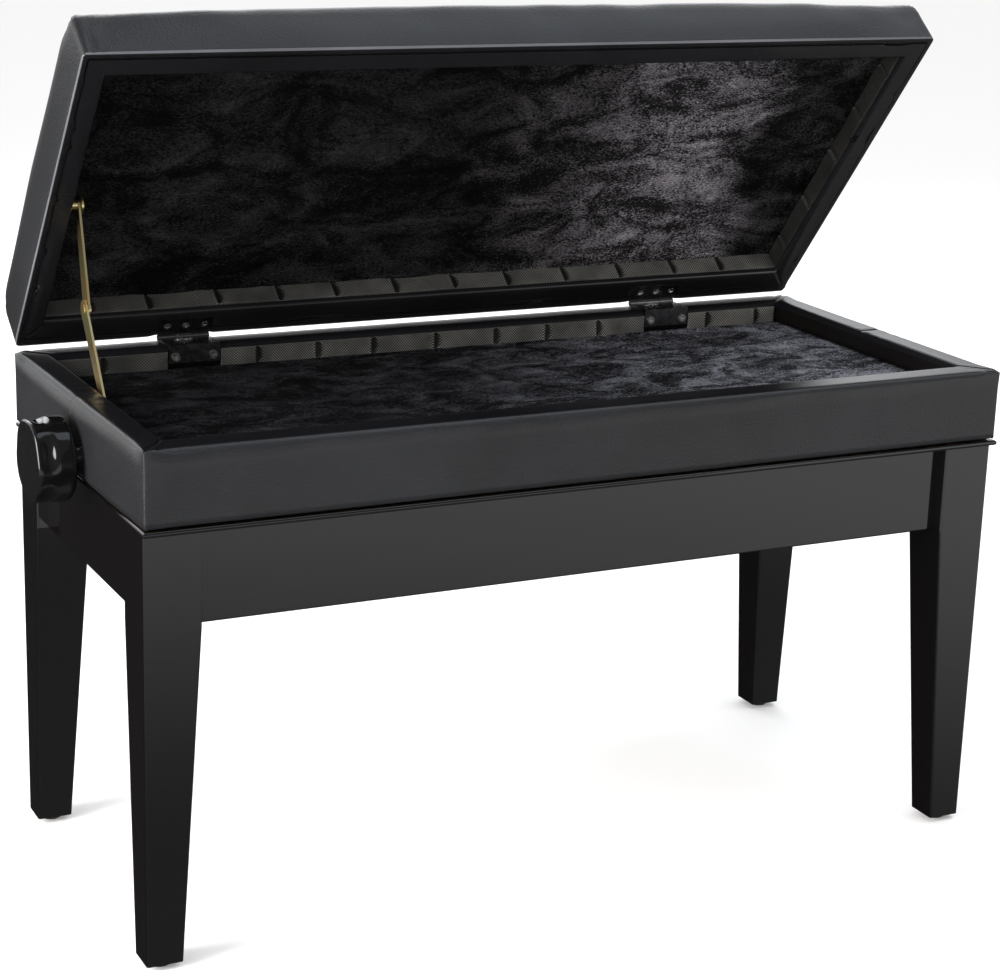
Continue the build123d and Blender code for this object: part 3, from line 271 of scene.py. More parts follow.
def vinyl(name, colour, roughness, specular=0.4, grain=0.5):
    """Upholstery vinyl with a fine pebbled grain."""
    material, tree, principled = shader(name, colour, roughness, specular=specular)
    cells = add_node(tree, "ShaderNodeTexVoronoi", Scale=620.0)
    place = object_place(tree)
    wobble = add_node(tree, "ShaderNodeMix", data_type="VECTOR")
    wobble.inputs[0].default_value = 0.004
    noise = noise_node(tree, 220, 3)
    tree.links.new(place, wobble.inputs[4])
    tree.links.new(noise.outputs["Color"], wobble.inputs[5])
    tree.links.new(wobble.outputs[1], cells.inputs["Vector"])
    bump(tree, principled, cells.outputs["Distance"], grain, 0.00035)
    bump(tree, principled, noise_node(tree, 28, 4, 0.4).outputs["Fac"], 0.12, 0.002)
    shade = ramp(tree, noise_node(tree, 9, 5, 0.5).outputs["Fac"], 0.35, 0.7,
                 tuple(c * 0.8 for c in colour), tuple(c * 1.2 for c in colour))
    tree.links.new(shade, principled.inputs["Base Color"])
    return material


def velvet(name, tint, patch, dark_side, painted_fade, reach, wander, heights, painted_low_light, slant):
    """Crushed velvet, its pile lying over in patches, with painted light along the bench: darker at one
    end.
    tint: colour of the lit pile; dark_side: its share left where the painted shade is deepest;
    patch: patches per metre; fade: painted light and shade along the bench, (share of the way from -reach
    to reach, brightness);
    wander and slant: how far the fade strays and leans; painted_low_light: painted brighter pile below
    heights."""
    material, tree, principled = shader(name, (0.01, 0.01, 0.01), 0.8, specular=0.05)
    strokes = noise_node(tree, patch, 10, 1.1, (0.8, 1.3, 1.3))
    strokes.inputs["Roughness"].default_value = 0.66
    pile = noise_node(tree, 640, 2, 0.6, (0.7, 1.2, 1.2))
    both = add_node(tree, "ShaderNodeMix", data_type="FLOAT")
    both.inputs[0].default_value = 0.45
    tree.links.new(strokes.outputs["Fac"], both.inputs[2])
    tree.links.new(pile.outputs["Fac"], both.inputs[3])
    lit = ramp(tree, both.outputs[0], 0.465, 0.68, tuple(0.02 * c for c in tint), tint)
    # Painted light: the pile is painted brighter along the bench by the fade ramp, and lower down by
    # painted_low_light.
    split = tree.nodes.new("ShaderNodeSeparateXYZ")
    tree.links.new(object_place(tree), split.inputs[0])
    share = add_node(tree, "ShaderNodeMapRange")
    for socket, value in zip(MAP_SOCKETS, (-reach, reach)):
        share.inputs[socket].default_value = value
    tree.links.new(split.outputs["X"], share.inputs["Value"])
    drift = add_node(tree, "ShaderNodeMath", operation="MULTIPLY_ADD")
    drift.inputs[1].default_value = wander
    tree.links.new(noise_node(tree, 7, 5, 0.8, (1, 1, 1.4)).outputs["Fac"], drift.inputs[0])
    tree.links.new(share.outputs[0], drift.inputs[2])
    up = add_node(tree, "ShaderNodeMapRange")
    for socket, value in zip(MAP_SOCKETS, heights):
        up.inputs[socket].default_value = value
    tree.links.new(split.outputs["Z"], up.inputs["Value"])
    slanted = add_node(tree, "ShaderNodeMath", operation="MULTIPLY_ADD")
    slanted.inputs[1].default_value = slant
    tree.links.new(up.outputs[0], slanted.inputs[0])
    tree.links.new(drift.outputs[0], slanted.inputs[2])
    # Painted light: below heights the pile is painted painted_low_light times brighter.
    gain = add_node(tree, "ShaderNodeMath", operation="MULTIPLY_ADD")
    gain.inputs[1].default_value, gain.inputs[2].default_value = 1 - painted_low_light, painted_low_light
    tree.links.new(up.outputs[0], gain.inputs[0])
    # The fade ramp: painted light along the bench, and painted shade where it falls off at the ends.
    lean = tree.nodes.new("ShaderNodeValToRGB")
    stops = lean.color_ramp.elements
    while len(stops) < len(painted_fade):
        stops.new(0.5)
    for stop, (at, level) in zip(stops, painted_fade):
        stop.position, stop.color = at, (level, level, level, 1)
    tree.links.new(slanted.outputs[0], lean.inputs[0])
    scale = add_node(tree, "ShaderNodeVectorMath", operation="MULTIPLY")
    tree.links.new(lit, scale.inputs[0])
    tree.links.new(lean.outputs[0], scale.inputs[1])
    floor = add_node(tree, "ShaderNodeVectorMath", operation="ADD")
    floor.inputs[1].default_value = tuple(dark_side * c for c in tint)
    stronger = add_node(tree, "ShaderNodeVectorMath", operation="SCALE")
    tree.links.new(scale.outputs[0], stronger.inputs[0])
    tree.links.new(gain.outputs[0], stronger.inputs["Scale"])
    tree.links.new(stronger.outputs[0], floor.inputs[0])
    tree.links.new(floor.outputs[0], principled.inputs["Base Color"])
    bump(tree, principled, strokes.outputs["Fac"], 0.6, 0.006)
    bump(tree, principled, pile.outputs["Fac"], 0.7, 0.0015)
    return material


def weave(name, lean):
    """Black woven tape, its threads crossing every 2 mm, with painted shadow where it dips behind a staple
    and painted light brighter towards +X.
    """
    material, tree, principled = shader(name, (0.006, 0.006, 0.006), 0.5, specular=0.4)
    turned = add_node(tree, "ShaderNodeMapping", vector_type="POINT")
    turned.inputs["Rotation"].default_value = (lean, 0, 0)
    tree.links.new(object_place(tree), turned.inputs["Vector"])
    split = tree.nodes.new("ShaderNodeSeparateXYZ")
    tree.links.new(turned.outputs[0], split.inputs[0])

    def arithmetic(operation, first, second=None):
        node = add_node(tree, "ShaderNodeMath", operation=operation)
        for socket, value in zip(node.inputs, (first, second)):
            if isinstance(value, (int, float)):
                socket.default_value = value
            elif value is not None:
                tree.links.new(value, socket)
        return node.outputs[0]

    beat = 2 * pi / 0.0025
    across = arithmetic("ADD", split.outputs["X"], split.outputs["Y"])
    warp = arithmetic("SINE", arithmetic("MULTIPLY", across, beat))
    weft = arithmetic("SINE", arithmetic("MULTIPLY", split.outputs["Z"], beat))
    knots = arithmetic("MULTIPLY_ADD", arithmetic("MULTIPLY", warp, weft), 0.5)
    knots.node.inputs[2].default_value = 0.5
    shade = ramp(tree, knots, 0.4, 0.85, (0.003, 0.003, 0.0028), (0.27, 0.265, 0.245))
    # Painted shade: this attribute darkens the tape as painted shadow in the dips behind the staples, and
    # over whole bands set in shade.
    dip_and_shade = add_node(tree, "ShaderNodeAttribute", attribute_name="dip_and_shade")
    keep = arithmetic("SUBTRACT", 1.0, arithmetic("MULTIPLY", dip_and_shade.outputs["Fac"], 0.92))
    worn = arithmetic("MULTIPLY_ADD", noise_node(tree, 45, 4).outputs["Fac"], 1.3)
    worn.node.inputs[2].default_value = 0.0
    # Painted light: the tape is painted brighter towards +X.
    side = add_node(tree, "ShaderNodeMapRange")
    for socket, value in zip(MAP_SOCKETS, (-0.35, 0.35, 0.6, 1.5)):
        side.inputs[socket].default_value = value
    tree.links.new(split.outputs["X"], side.inputs["Value"])
    scale = add_node(tree, "ShaderNodeVectorMath", operation="SCALE")
    tree.links.new(shade, scale.inputs[0])
    # From here worn also carries the painted light along the bench.
    worn = arithmetic("MULTIPLY", worn, side.outputs[0])
    tree.links.new(arithmetic("MULTIPLY", keep, worn), scale.inputs["Scale"])
    tree.links.new(scale.outputs[0], principled.inputs["Base Color"])
    bump(tree, principled, knots, 0.5, 0.0005)
    return material


def wood():
    """Bare sawn wood for what is out of sight."""
    material, tree, principled = shader("bare_wood", (0.45, 0.31, 0.18), 0.65)
    rings = noise_node(tree, 14, 6, 1.2, (0.25, 3, 3))
    shade = ramp(tree, rings.outputs["Fac"], 0.3, 0.75, (0.34, 0.22, 0.12), (0.58, 0.42, 0.26))
    tree.links.new(shade, principled.inputs["Base Color"])
    bump(tree, principled, rings.outputs["Fac"], 0.15, 0.0006)
    return material


def metal(name, colour, roughness, scratch=0.1):
    """Plated or painted metal with faint wear in its gloss."""
    material, tree, principled = shader(name, colour, roughness, metallic=1.0)
    wear = noise_node(tree, 160, 5, 0.3)
    worn = ramp(tree, wear.outputs["Fac"], 0.3, 0.75, (roughness * 0.75,) * 3, (roughness * 1.3,) * 3)
    tree.links.new(worn, principled.inputs["Roughness"])
    bump(tree, principled, wear.outputs["Fac"], scratch, 0.0002)
    return material


def yellow_zinc():
    """Yellow passivated steel: brassy, drifting to pink and green."""
    material, tree, principled = shader("yellow_zinc", (0.78, 0.6, 0.27), 0.28, metallic=1.0)
    drift = noise_node(tree, 40, 3, 0.8)
    shade = ramp(tree, drift.outputs["Fac"], 0.35, 0.7, (0.85, 0.62, 0.3), (0.7, 0.68, 0.36))
    tree.links.new(shade, principled.inputs["Base Color"])
    return material


def plain(name, colour, roughness, specular=0.5, grain=0.1, scale=300):
    """Plain finish with a little surface grain."""
    material, tree, principled = shader(name, colour, roughness, specular=specular)
    bump(tree, principled, noise_node(tree, scale, 3).outputs["Fac"], grain, 0.0003)
    return material


VINYL = vinyl("upholstery_vinyl", (0.011, 0.0115, 0.0132), 0.4)
TRIM_VINYL = vinyl("trim_vinyl", (0.008, 0.008, 0.009), 0.24, specular=0.5, grain=0.1)
# Painted highlight: light vinyl for the bright line round the lid's turned edge.
HIGHLIGHT_VINYL = vinyl("painted_highlight_vinyl", (0.1, 0.103, 0.115), 0.3, grain=0.1)
# Painted shade: near-black vinyl for the shadowed joint between trim and cushion.
GAP_SHADE_VINYL = vinyl("gap_painted_shade", (0.0015, 0.0015, 0.0015), 0.5, specular=0.1, grain=0.1)
# Painted shade: a darker, less shiny copy of the vinyl for the box rim's top.
RIM_VINYL = vinyl("rim_vinyl", (0.006, 0.006, 0.0072), 0.3, specular=0.09, grain=0.25)
# Painted shade: a darker copy of the vinyl for the box's shaded inner walls.
INNER_SHADE_VINYL = vinyl("inner_painted_shade_vinyl", (0.0035, 0.003, 0.0028), 0.4, specular=0.1, grain=0.4)
# Lid velvet: painted light brighter towards +X and lower down, painted shade by the right wall.
VELVET = velvet("crushed_velvet", tint=(1.0, 0.93, 1.0), patch=17.0, dark_side=0.0009,
                painted_fade=((0.0, 0.02), (0.6, 0.024), (0.73, 0.1), (0.84, 0.3), (0.94, 0.26), (1.0, 0.04)),
                reach=0.37, wander=0.14, heights=(0.44, 0.65), painted_low_light=2.2, slant=0.06)
# Box velvet: painted light brighter towards +X.
PILE = velvet("velvet_pile", tint=(0.93, 0.95, 1.1), patch=30.0, dark_side=0.0015,
              painted_fade=((0.0, 0.03), (0.3, 0.045), (0.55, 0.09), (0.75, 0.3), (1.0, 0.42)),
              reach=0.36, wander=0.06, heights=(0.3, 0.6), painted_low_light=1.0, slant=0.0)
LID_WEBBING = weave("lid_woven_tape", LEAN)
BOX_WEBBING = weave("box_woven_tape", 0.0)
FINISHES = {
    "lacquered_wood": lacquer(),
    "raw_wood": wood(),
    "vinyl": VINYL,
    "foam": plain("foam", (0.7, 0.62, 0.42), 0.9),
    "velvet": VELVET,
    "webbing": BOX_WEBBING,
    "felt": plain("felt", (0.02, 0.02, 0.02), 0.95, 0.2, 0.5, 900),
    "steel": metal("zinc_plate", (0.55, 0.55, 0.56), 0.3),
    "dark_steel": plain("black_enamel", (0.012, 0.012, 0.013), 0.35),
    "hinge_steel": metal("burnished_steel", (0.14, 0.14, 0.145), 0.26),
    "bright_screw": metal("nickel", (0.85, 0.84, 0.82), 0.25),
    "brass_zinc": yellow_zinc(),
    "glide": plain("glide_plastic", (0.012, 0.012, 0.012), 0.5),
    "knob": plain("knob_plastic", (0.004, 0.004, 0.0042), 0.1, 0.4, 0.03, 40),
}
for node, slot_name in SLOTS.items():
    NODES[node].data.materials.clear()
    NODES[node].data.materials.append(FINISHES[slot_name])

# ---- lid cushion ----------------------------------------------------------------------------
ROUND = 0.019            # rounding of the cushion's top edge
EDGE_LINES = (0.0007, 0.0018, 0.0034, 0.0055, 0.0085, 0.012, 0.0155, 0.019, 0.025)
SIDE_STEPS = (0.0016, 0.0025, 0.004, 0.006, 0.009, 0.013, 0.017, 0.021, 0.025, LID_N - ROUND - 0.0025)
TUCK = 0.42              # the cover runs this share of the rim's width under the lid's edge
LID_CORNER = 0.005
PRESSURE, CLOTH_FRAMES, MOST_SWELL = 4.0, 20, 0.0025
EDGE_FOLD = 0.0022       # below this height the cover is the glossier turned edge
HIGHLIGHT_WIDTH = 0.0011      # the painted highlight: a light line round the turned edge
OUTER = (np.array([-LID_X, -LID_Y]), np.array([LID_X, 0.0]))
INNER = (LINING_LOW[:2], LINING_HIGH[:2])


def between(outer, inner, share):
    """Rectangle at a share of the way from the outer one to the inner one."""
    return tuple(np.array(o) + (np.array(i) - np.array(o)) * share for o, i in zip(outer, inner))


def lid_corners(points):
    """For each corner of the lid: -1 at the front or 1 at the hinges, and how far the points are
    from it along the bench and across. The points may be moved between corners."""
    for sx in (-1, 1):
        for y, side in ((-LID_Y, -1), (0.0, 1)):
            yield side, LID_X - sx * points[:, 0], side * (y - points[:, 1])


def cushion_mesh():
    """Closed cushion skin in lid coordinates: top, sides, and the cover turned under the edge."""
    xs = (grid_lines(-LID_X, LID_X, 0.0075, EDGE_LINES) + LID_X) / (2 * LID_X)
    ys = (grid_lines(-LID_Y, 0, 0.0075, EDGE_LINES) + LID_Y) / LID_Y
    low, high = OUTER
    size = high - low
    across, down = np.meshgrid(xs, ys, indexing="ij")
    flat = np.stack([across.ravel(), down.ravel()], 1)
    inset = np.minimum(np.minimum(flat * size, (1 - flat) * size).min(1), ROUND)
    plan = flat * size + low
    for level in np.unique(np.round(inset, 7)):
        if level < LID_CORNER:
            ring = np.abs(inset - level) < 1e-7
            plan[ring] = fit_outline((flat[ring] * size - level) / (size - 2 * level),
                                     low + level, high - level, LID_CORNER - level)
    top = LID_N - ROUND + np.sqrt(np.maximum(ROUND ** 2 - (ROUND - inset) ** 2, 0))
    points = [np.column_stack([plan, top])]
    nx, ny = len(xs), len(ys)
    faces = [(i * ny + j, (i + 1) * ny + j, (i + 1) * ny + j + 1, i * ny + j + 1)
             for i in range(nx - 1) for j in range(ny - 1)]
    rim = grid_rim(nx, ny)
    outline = boundary(xs, ys)
    count = len(outline)
    back = LINING_HIGH[2] + 0.0014
    levels = [(low, high, LID_CORNER, n) for n in SIDE_STEPS[::-1]]
    levels += [(low + d, high - d, LID_CORNER - d, n) for d, n in
               ((0.0001, 0.0009), (0.0004, 0.0004), (0.0009, 0.0001), (0.0019, -0.0001), (0.0035, 0.0),
                (0.005, 0.0003))]
    levels += [(*between(OUTER, INNER, TUCK), 0.001, n) for n in (0.0003, 0.0014, back)]
    previous, base = rim, nx * ny
    for inner_low, inner_high, radius, n in levels:
        ring = fit_outline(outline, inner_low, inner_high, radius)
        points.append(np.column_stack([ring, np.full(count, n)]))
        current = list(range(base, base + count))
        faces += [(previous[(i + 1) % count], previous[i], current[i], current[(i + 1) % count])
                  for i in range(count)]
        previous, base = current, base + count
    floor_low, floor_high = between(OUTER, INNER, TUCK)
    inner = flat * (floor_high - floor_low) + floor_low
    index = np.full(nx * ny, -1)
    index[rim] = previous
    free = np.where(index < 0)[0]
    index[free] = np.arange(base, base + len(free))
    points.append(np.column_stack([inner, np.full(len(inner), back)])[free])
    faces += [tuple(int(index[v]) for v in face[::-1]) for face in faces[: (nx - 1) * (ny - 1)]]
    return np.concatenate(points), faces, nx * ny + count * len(SIDE_STEPS)


def crown(points, skin):
    """Fullness of the upholstery: domed top, bulging sides, drawn in at the corners."""
    dx = np.maximum(LID_X - np.abs(points[:, 0]), 0)
    dy = np.maximum(np.minimum(-points[:, 1], points[:, 1] + LID_Y), 0)
    height = np.clip(points[:, 2] / LID_N, 0, 1)
    along = smooth((dx + dy) / 0.24)
    points[:, 2] += skin * smooth((height - 0.15) / 0.7) * (
        0.006 * (0.25 + 0.75 * along) + 0.005 * smooth(np.minimum(dx, dy) / 0.12))
    belly = skin * np.sin(pi * np.clip(height * 0.9 + 0.05, 0, 1)) ** 1.3
    points[:, 1] += belly * 0.004 * smooth(dx / 0.11) * np.exp(-dy / 0.014) * np.where(
        points[:, 1] > -LID_Y / 2, 0.7, -1)
    full = skin * smooth(height / 0.9) * smooth((dy + 0.004) / 0.035) * np.exp(-dx / 0.014)
    points[:, 0] += 0.0042 * full * np.sign(points[:, 0])


def clear_of_hinges(points):
    """1 away from the hinge leaves under the lid, 0 over them."""
    near = np.zeros(len(points))
    for low in (HINGE_LOW[0], HINGE_HIGH[0] - LEAF):
        off = np.maximum(low - 0.0012 - points[:, 0], points[:, 0] - low - LEAF - 0.0002)
        near = np.maximum(near, 1 - smooth(np.maximum(off, -0.021 - points[:, 1]) / 0.003))
    return 1 - near


def inflate(points, faces, pressure, frames, cap):
    """Cloth under pressure on an even copy of the skin; its swelling is carried to the fine skin."""
    scene = bpy.context.scene
    mesh = bpy.data.meshes.new("fine")
    mesh.from_pydata(points.tolist(), [], faces)
    fine = bpy.data.objects.new("fine", mesh)
    scene.collection.objects.link(fine)
    remesh = fine.modifiers.new("even", "REMESH")
    remesh.mode, remesh.voxel_size = "VOXEL", 0.006
    even = bpy.data.meshes.new_from_object(fine.evaluated_get(bpy.context.evaluated_depsgraph_get()))
    bpy.data.objects.remove(fine)
    piece = bpy.data.objects.new("inflating", even)
    scene.collection.objects.link(piece)
    rest = np.array([v.co for v in even.vertices])
    held = piece.vertex_groups.new(name="held")
    held.add([int(i) for i in np.where(rest[:, 2] < 0.012)[0]], 1.0, "REPLACE")
    cloth = piece.modifiers.new("cloth", "CLOTH")
    cloth.settings.quality = 5
    cloth.settings.mass = 0.3
    cloth.settings.tension_stiffness = cloth.settings.compression_stiffness = 15
    cloth.settings.bending_stiffness = 0.6
    cloth.settings.use_pressure = True
    cloth.settings.uniform_pressure_force = pressure
    cloth.settings.vertex_group_mass = "held"
    cloth.settings.effector_weights.gravity = 0
    cloth.collision_settings.use_collision = False
    cloth.point_cache.frame_start, cloth.point_cache.frame_end = 1, frames
    for number in range(1, frames + 1):
        scene.frame_set(number)
    settled = piece.evaluated_get(bpy.context.evaluated_depsgraph_get())
    moved = np.array([v.co for v in settled.data.vertices]) - rest
    scene.frame_set(1)
    bpy.data.objects.remove(piece)
    length = np.linalg.norm(moved, axis=1)
    moved *= (np.minimum(length, cap) / np.maximum(length, 1e-9))[:, None]
    tree = kdtree.KDTree(len(rest))
    for i, co in enumerate(rest):
        tree.insert(co, i)
    tree.balance()
    carried = np.zeros_like(points)
    for k, co in enumerate(points):
        near = tree.find_n(co, 6)
        weights = np.array([1 / (distance + 0.001) for _, _, distance in near])
        carried[k] = (moved[[i for _, i, _ in near]] * weights[:, None]).sum(0) / weights.sum()
    return carried


def lid_cushion():
    """The padded top, swollen as cloth, with drawn corners and their pleats."""
    points, faces, loose = cushion_mesh()
    skin = (np.arange(len(points)) < loose) * 1.0
    crown(points, skin)
    loose_part = skin * smooth((points[:, 2] - 0.008) / 0.01)
    swell = inflate(points, faces, PRESSURE, CLOTH_FRAMES, MOST_SWELL) * loose_part[:, None]
    # The frame inside keeps the sides from being drawn in.
    edge_y = np.minimum(-points[:, 1], points[:, 1] + LID_Y)
    out_x, out_y = np.sign(points[:, 0]), np.where(points[:, 1] > -LID_Y / 2, 1, -1)
    for k, out, edge in ((0, out_x, LID_X - np.abs(points[:, 0])), (1, out_y, edge_y)):
        swell[:, k] = np.where(edge < 0.02, out * np.maximum(out * swell[:, k], 0), swell[:, k])
    swell[:, 2] = np.maximum(swell[:, 2], -0.0003)
    points += swell
    upper = skin * smooth((points[:, 2] - 0.012) / 0.02)
    points[:, 2] += upper * 0.0003 * ripple(points, 0.2, 3)
    points[:, 1] += upper * 0.0003 * ripple(points, 0.06, 4)
    # The cover's turned edge sags a little below the hinge edge.
    sag = np.exp(-((points[:, 1] + 0.0005) / 0.006) ** 2)
    sag *= (points[:, 2] < 0.0045) * clear_of_hinges(points)
    points[:, 2] -= 0.0014 * sag
    points[:, 1] += 0.0009 * sag * (points[:, 1] > -0.002)
    for side, dx, dy in lid_corners(points):
        low = smooth((0.042 - points[:, 2]) / 0.02) * skin
        for at, deep in ((0.0075, 0.0012), (0.016, 0.0006)):
            fold = np.exp(-((dx - at - points[:, 2] * 0.12) / 0.0011) ** 2) * (dy < 0.004)
            points[:, 1] -= side * deep * fold * low
        strain = np.exp(-(dx + dy) / 0.05) * skin * (points[:, 2] > 0.035)
        points[:, 2] += 0.0006 * strain * np.sin(np.arctan2(dy + 0.004, dx + 0.004) * 22)
    piece = make_piece("lid_cushion", to_world(points), faces, "lid", VINYL)
    piece.data.materials.append(TRIM_VINYL)
    piece.data.materials.append(HIGHLIGHT_VINYL)
    low = points[:, 2] < EDGE_FOLD
    edge = np.minimum.reduce([LID_X - np.abs(points[:, 0]), -points[:, 1], points[:, 1] + LID_Y])
    # Painted highlight: the faces along the turned edge take the light vinyl.
    highlight_line = low & (edge < HIGHLIGHT_WIDTH)
    for face in piece.data.polygons:
        corners = list(face.vertices)
        face.material_index = 2 if highlight_line[corners].all() else 1 if low[corners].all() else 0
    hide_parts("lid_vinyl_cover", "lid_foam")
    return piece


# ---- lid rim: glossy trim strips over the cover's stapled edge -------------------------------
def ring_piece(name, profile, outline, to_bench, body, material, wobble=None):
    """Sweep of a closed profile round a rectangle. Each profile step gives low and high plan
    corners, corner radius and height."""
    count = len(outline)
    loops = []
    for low, high, radius, height in profile:
        ring = fit_outline(outline, low, high, radius)
        loops.append(np.column_stack([ring, np.full(count, height)]))
    points = np.concatenate(loops)
    if wobble is not None:
        points = wobble(points, np.repeat(np.arange(len(profile)), count))
    faces = [f[::-1] for f in loops_to_faces(len(profile), count, True)]
    return make_piece(name, to_bench(points), faces, body, material)


TRIM_STEPS = ((0.3, 0.0008), (0.255, 0.0006), (0.245, -0.0003), (0.255, -0.001), (0.3, -0.0013),
              (0.37, -0.0011), (0.46, -0.0014), (0.57, -0.0017), (0.68, -0.0015), (0.78, -0.0012),
              (0.87, -0.0009), (0.95, -0.0005), (1.01, 0.0003), (1.035, 0.0018), (1.035, 0.0042),
              (1.01, 0.0062), (1.0, 0.0062), (0.99, 0.0035), (0.97, 0.0012), (0.6, 0.0008))
TRIM_GAP_STEPS = 4       # the first steps are the joint between trim and cushion, painted near black as its shade


def lid_trim():
    """Vinyl strips round the underside, dimpled at the staples and rolled over the inner edge."""
    xs = (grid_lines(-LID_X, LID_X, 0.0032, EDGE_LINES[:5]) + LID_X) / (2 * LID_X)
    ys = (grid_lines(-LID_Y, 0, 0.0032, EDGE_LINES[:5]) + LID_Y) / LID_Y
    profile = [(*between(OUTER, INNER, share), 0.0005, height) for share, height in TRIM_STEPS]

    def wobble(points, step):
        shares = np.array([s for s, _ in TRIM_STEPS])[step]
        ground = points * [1, 1, 0]
        edge = np.exp(-((shares - 0.25) / 0.05) ** 2)
        dimples = np.maximum(ripple(ground, 0.026, 9), 0) ** 3
        middle = (OUTER[0] + OUTER[1]) / 2
        pull = (middle - points[:, :2]) / LID_Y
        points[:, :2] += pull * (edge * (0.0003 * ripple(ground, 0.05, 7) + 0.0005 * dimples))[:, None]
        below = points[:, 2] < 0.0003
        soft = np.sin(pi * np.clip((shares - 0.25) / 0.75, 0, 1))
        points[:, 2] += below * (0.0002 * dimples * np.exp(-((shares - 0.36) / 0.08) ** 2)
                                 + 0.00015 * soft * ripple(ground, 0.11, 11))
        for _, dx, dy in lid_corners(points):
            mitre = (dx * 0.027 - dy * 0.021) / 0.034
            crease = np.exp(-(mitre / 0.0012) ** 2) + 0.5 * np.exp(-((mitre - 0.005) / 0.0015) ** 2)
            points[:, 2] += below * crease * 0.0011 * (dx < 0.04) * (dy < 0.04)
        on_ends = np.abs(points[:, 0]) > LINING_HIGH[0] - 0.001
        seam = np.exp(-((points[:, 1] + 0.55 * LID_Y) / 0.0009) ** 2) * on_ends
        points[:, 2] += below * 0.0009 * seam
        deep = np.exp(-((points[:, 1] + 0.011) / 0.006) ** 2)
        points[:, 2] -= below * 0.0001 * deep * soft
        # The closed lid leans on the front rim, so the roll is flatter towards the front.
        fullness = 0.2 + 0.65 * smooth(1 + points[:, 1] / LID_Y)
        flat = np.minimum(points[:, 2] * fullness, -0.00015)
        flat = np.where(flat < -0.0004, -0.0004 + (flat + 0.0004) * clear_of_hinges(points), flat)
        points[:, 2] = np.where(below & (shares < 0.99), flat, points[:, 2])
        return points

    outline = boundary(xs, with_lines(ys, 0.45))
    piece = ring_piece("lid_trim", profile, outline, to_world, "lid", TRIM_VINYL, wobble)
    # The joint's faces take the near-black painted shade.
    piece.data.materials.append(GAP_SHADE_VINYL)
    count = len(piece.data.vertices) // len(TRIM_STEPS)
    for face in piece.data.polygons:
        if max(v // count for v in face.vertices) <= TRIM_GAP_STEPS:
            face.material_index = 1


# ---- velvet ---------------------------------------------------------------------------------
def velvet_sheet(name, low, high, height, to_bench, body, material, replaced, amount, flip):
    """Lining cut to the panel, its pile crushed into low ridges, curling up a little at the walls."""
    xs = grid_lines(low[0], high[0], 0.0035)
    ys = grid_lines(low[1], high[1], 0.0035)
    across, down = np.meshgrid(xs, ys, indexing="ij")
    points = np.column_stack([across.ravel(), down.ravel(), np.full(across.size, height)])
    edge = np.minimum.reduce([points[:, 0] - low[0], high[0] - points[:, 0], points[:, 1] - low[1],
                              high[1] - points[:, 1]])
    crush = 0.5 * ripple(points * [0.7, 1, 1], 0.05, 21) + 0.35 * ripple(points, 0.018, 22) \
        + 0.25 * ripple(points, 0.008, 23)
    points[:, 2] += flip * (amount * crush * smooth(edge / 0.01) + 0.0012 * (1 - smooth(edge / 0.006)))
    back = points * [1, 1, 0] + [0, 0, height - flip * 0.0009]
    points, faces = slab(points, len(xs), len(ys), back)
    if flip < 0:
        faces = [f[::-1] for f in faces]
    piece = make_piece(name, to_bench(points), faces, body, material)
    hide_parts(replaced)
    return piece


# ---- webbing --------------------------------------------------------------------------------
def webbing_band(name, start, end, low, high, inward, to_bench, body, material, pitch, seed,
                 replaced=(), painted_shade=0.0):
    """Woven tape stapled every pitch along a wall, bellying out from the wall between staples.
    dull darkens the whole band as painted shade (0 to 1); the dips behind the staples get painted shadow."""
    start, end, inward = map(np.array, (start, end, inward))
    length = np.linalg.norm(end - start)
    along = grid_lines(0, length, 0.0012)
    up = np.linspace(low, high, 16)
    a, h = (g.ravel() for g in np.meshgrid(along, up, indexing="ij"))
    rng = np.random.default_rng(seed)
    stops = np.arange(pitch * rng.uniform(0.3, 0.7), length - pitch * 0.2, pitch)
    stops += rng.uniform(-0.004, 0.004, len(stops))
    rise = np.clip((h - low) / (high - low), 0, 1)
    belly = np.sqrt(np.maximum(1 - ((rise - 0.5) / 0.5) ** 2, 0))
    lift = np.full(a.size, 0.0016)
    dip_and_shade = np.zeros(a.size)
    for stop in stops:
        away = a - stop
        hole = np.clip(1 - away / (0.0085 * belly + 1e-5), 0, 1) * (away > 0) * (belly > 0.15)
        dip_and_shade = np.maximum(dip_and_shade, hole)
        lift += 0.0008 * np.exp(-(away / 0.0016) ** 2) + 0.0006 * smooth(1 - np.abs(away + 0.012) / 0.012)
    lift += 0.0004 * ripple(np.column_stack([a, h, 0 * a]), 0.05, seed) - 0.0015 * smooth(dip_and_shade * 1.6)
    outward = (end - start) / length
    wall = start + a[:, None] * outward
    front = np.column_stack([wall + np.maximum(lift, 0.0003)[:, None] * inward, h])
    back = np.column_stack([wall - 0.0002 * inward, h])
    points, faces = slab(front, len(along), len(up), back)
    piece = make_piece(name, to_bench(points), faces, body, material)
    # Painted shade for the weave: shadow in the staple dips, and the whole band at the dull level.
    shade = piece.data.attributes.new("dip_and_shade", "FLOAT", "POINT")
    shade.data.foreach_set("value", np.concatenate([np.maximum(smooth(dip_and_shade * 2.2), painted_shade), 0 * dip_and_shade]))
    if replaced:
        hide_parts(*replaced)
    return piece


# ---- seat box cover -------------------------------------------------------------------------
BEAD = 0.0055            # rounding of the box's upper edges
TURN_START, TURN_END, RIM_END = 8, 15, 24    # profile steps: outer rounding, and last one of the rim
RIM_START = 12


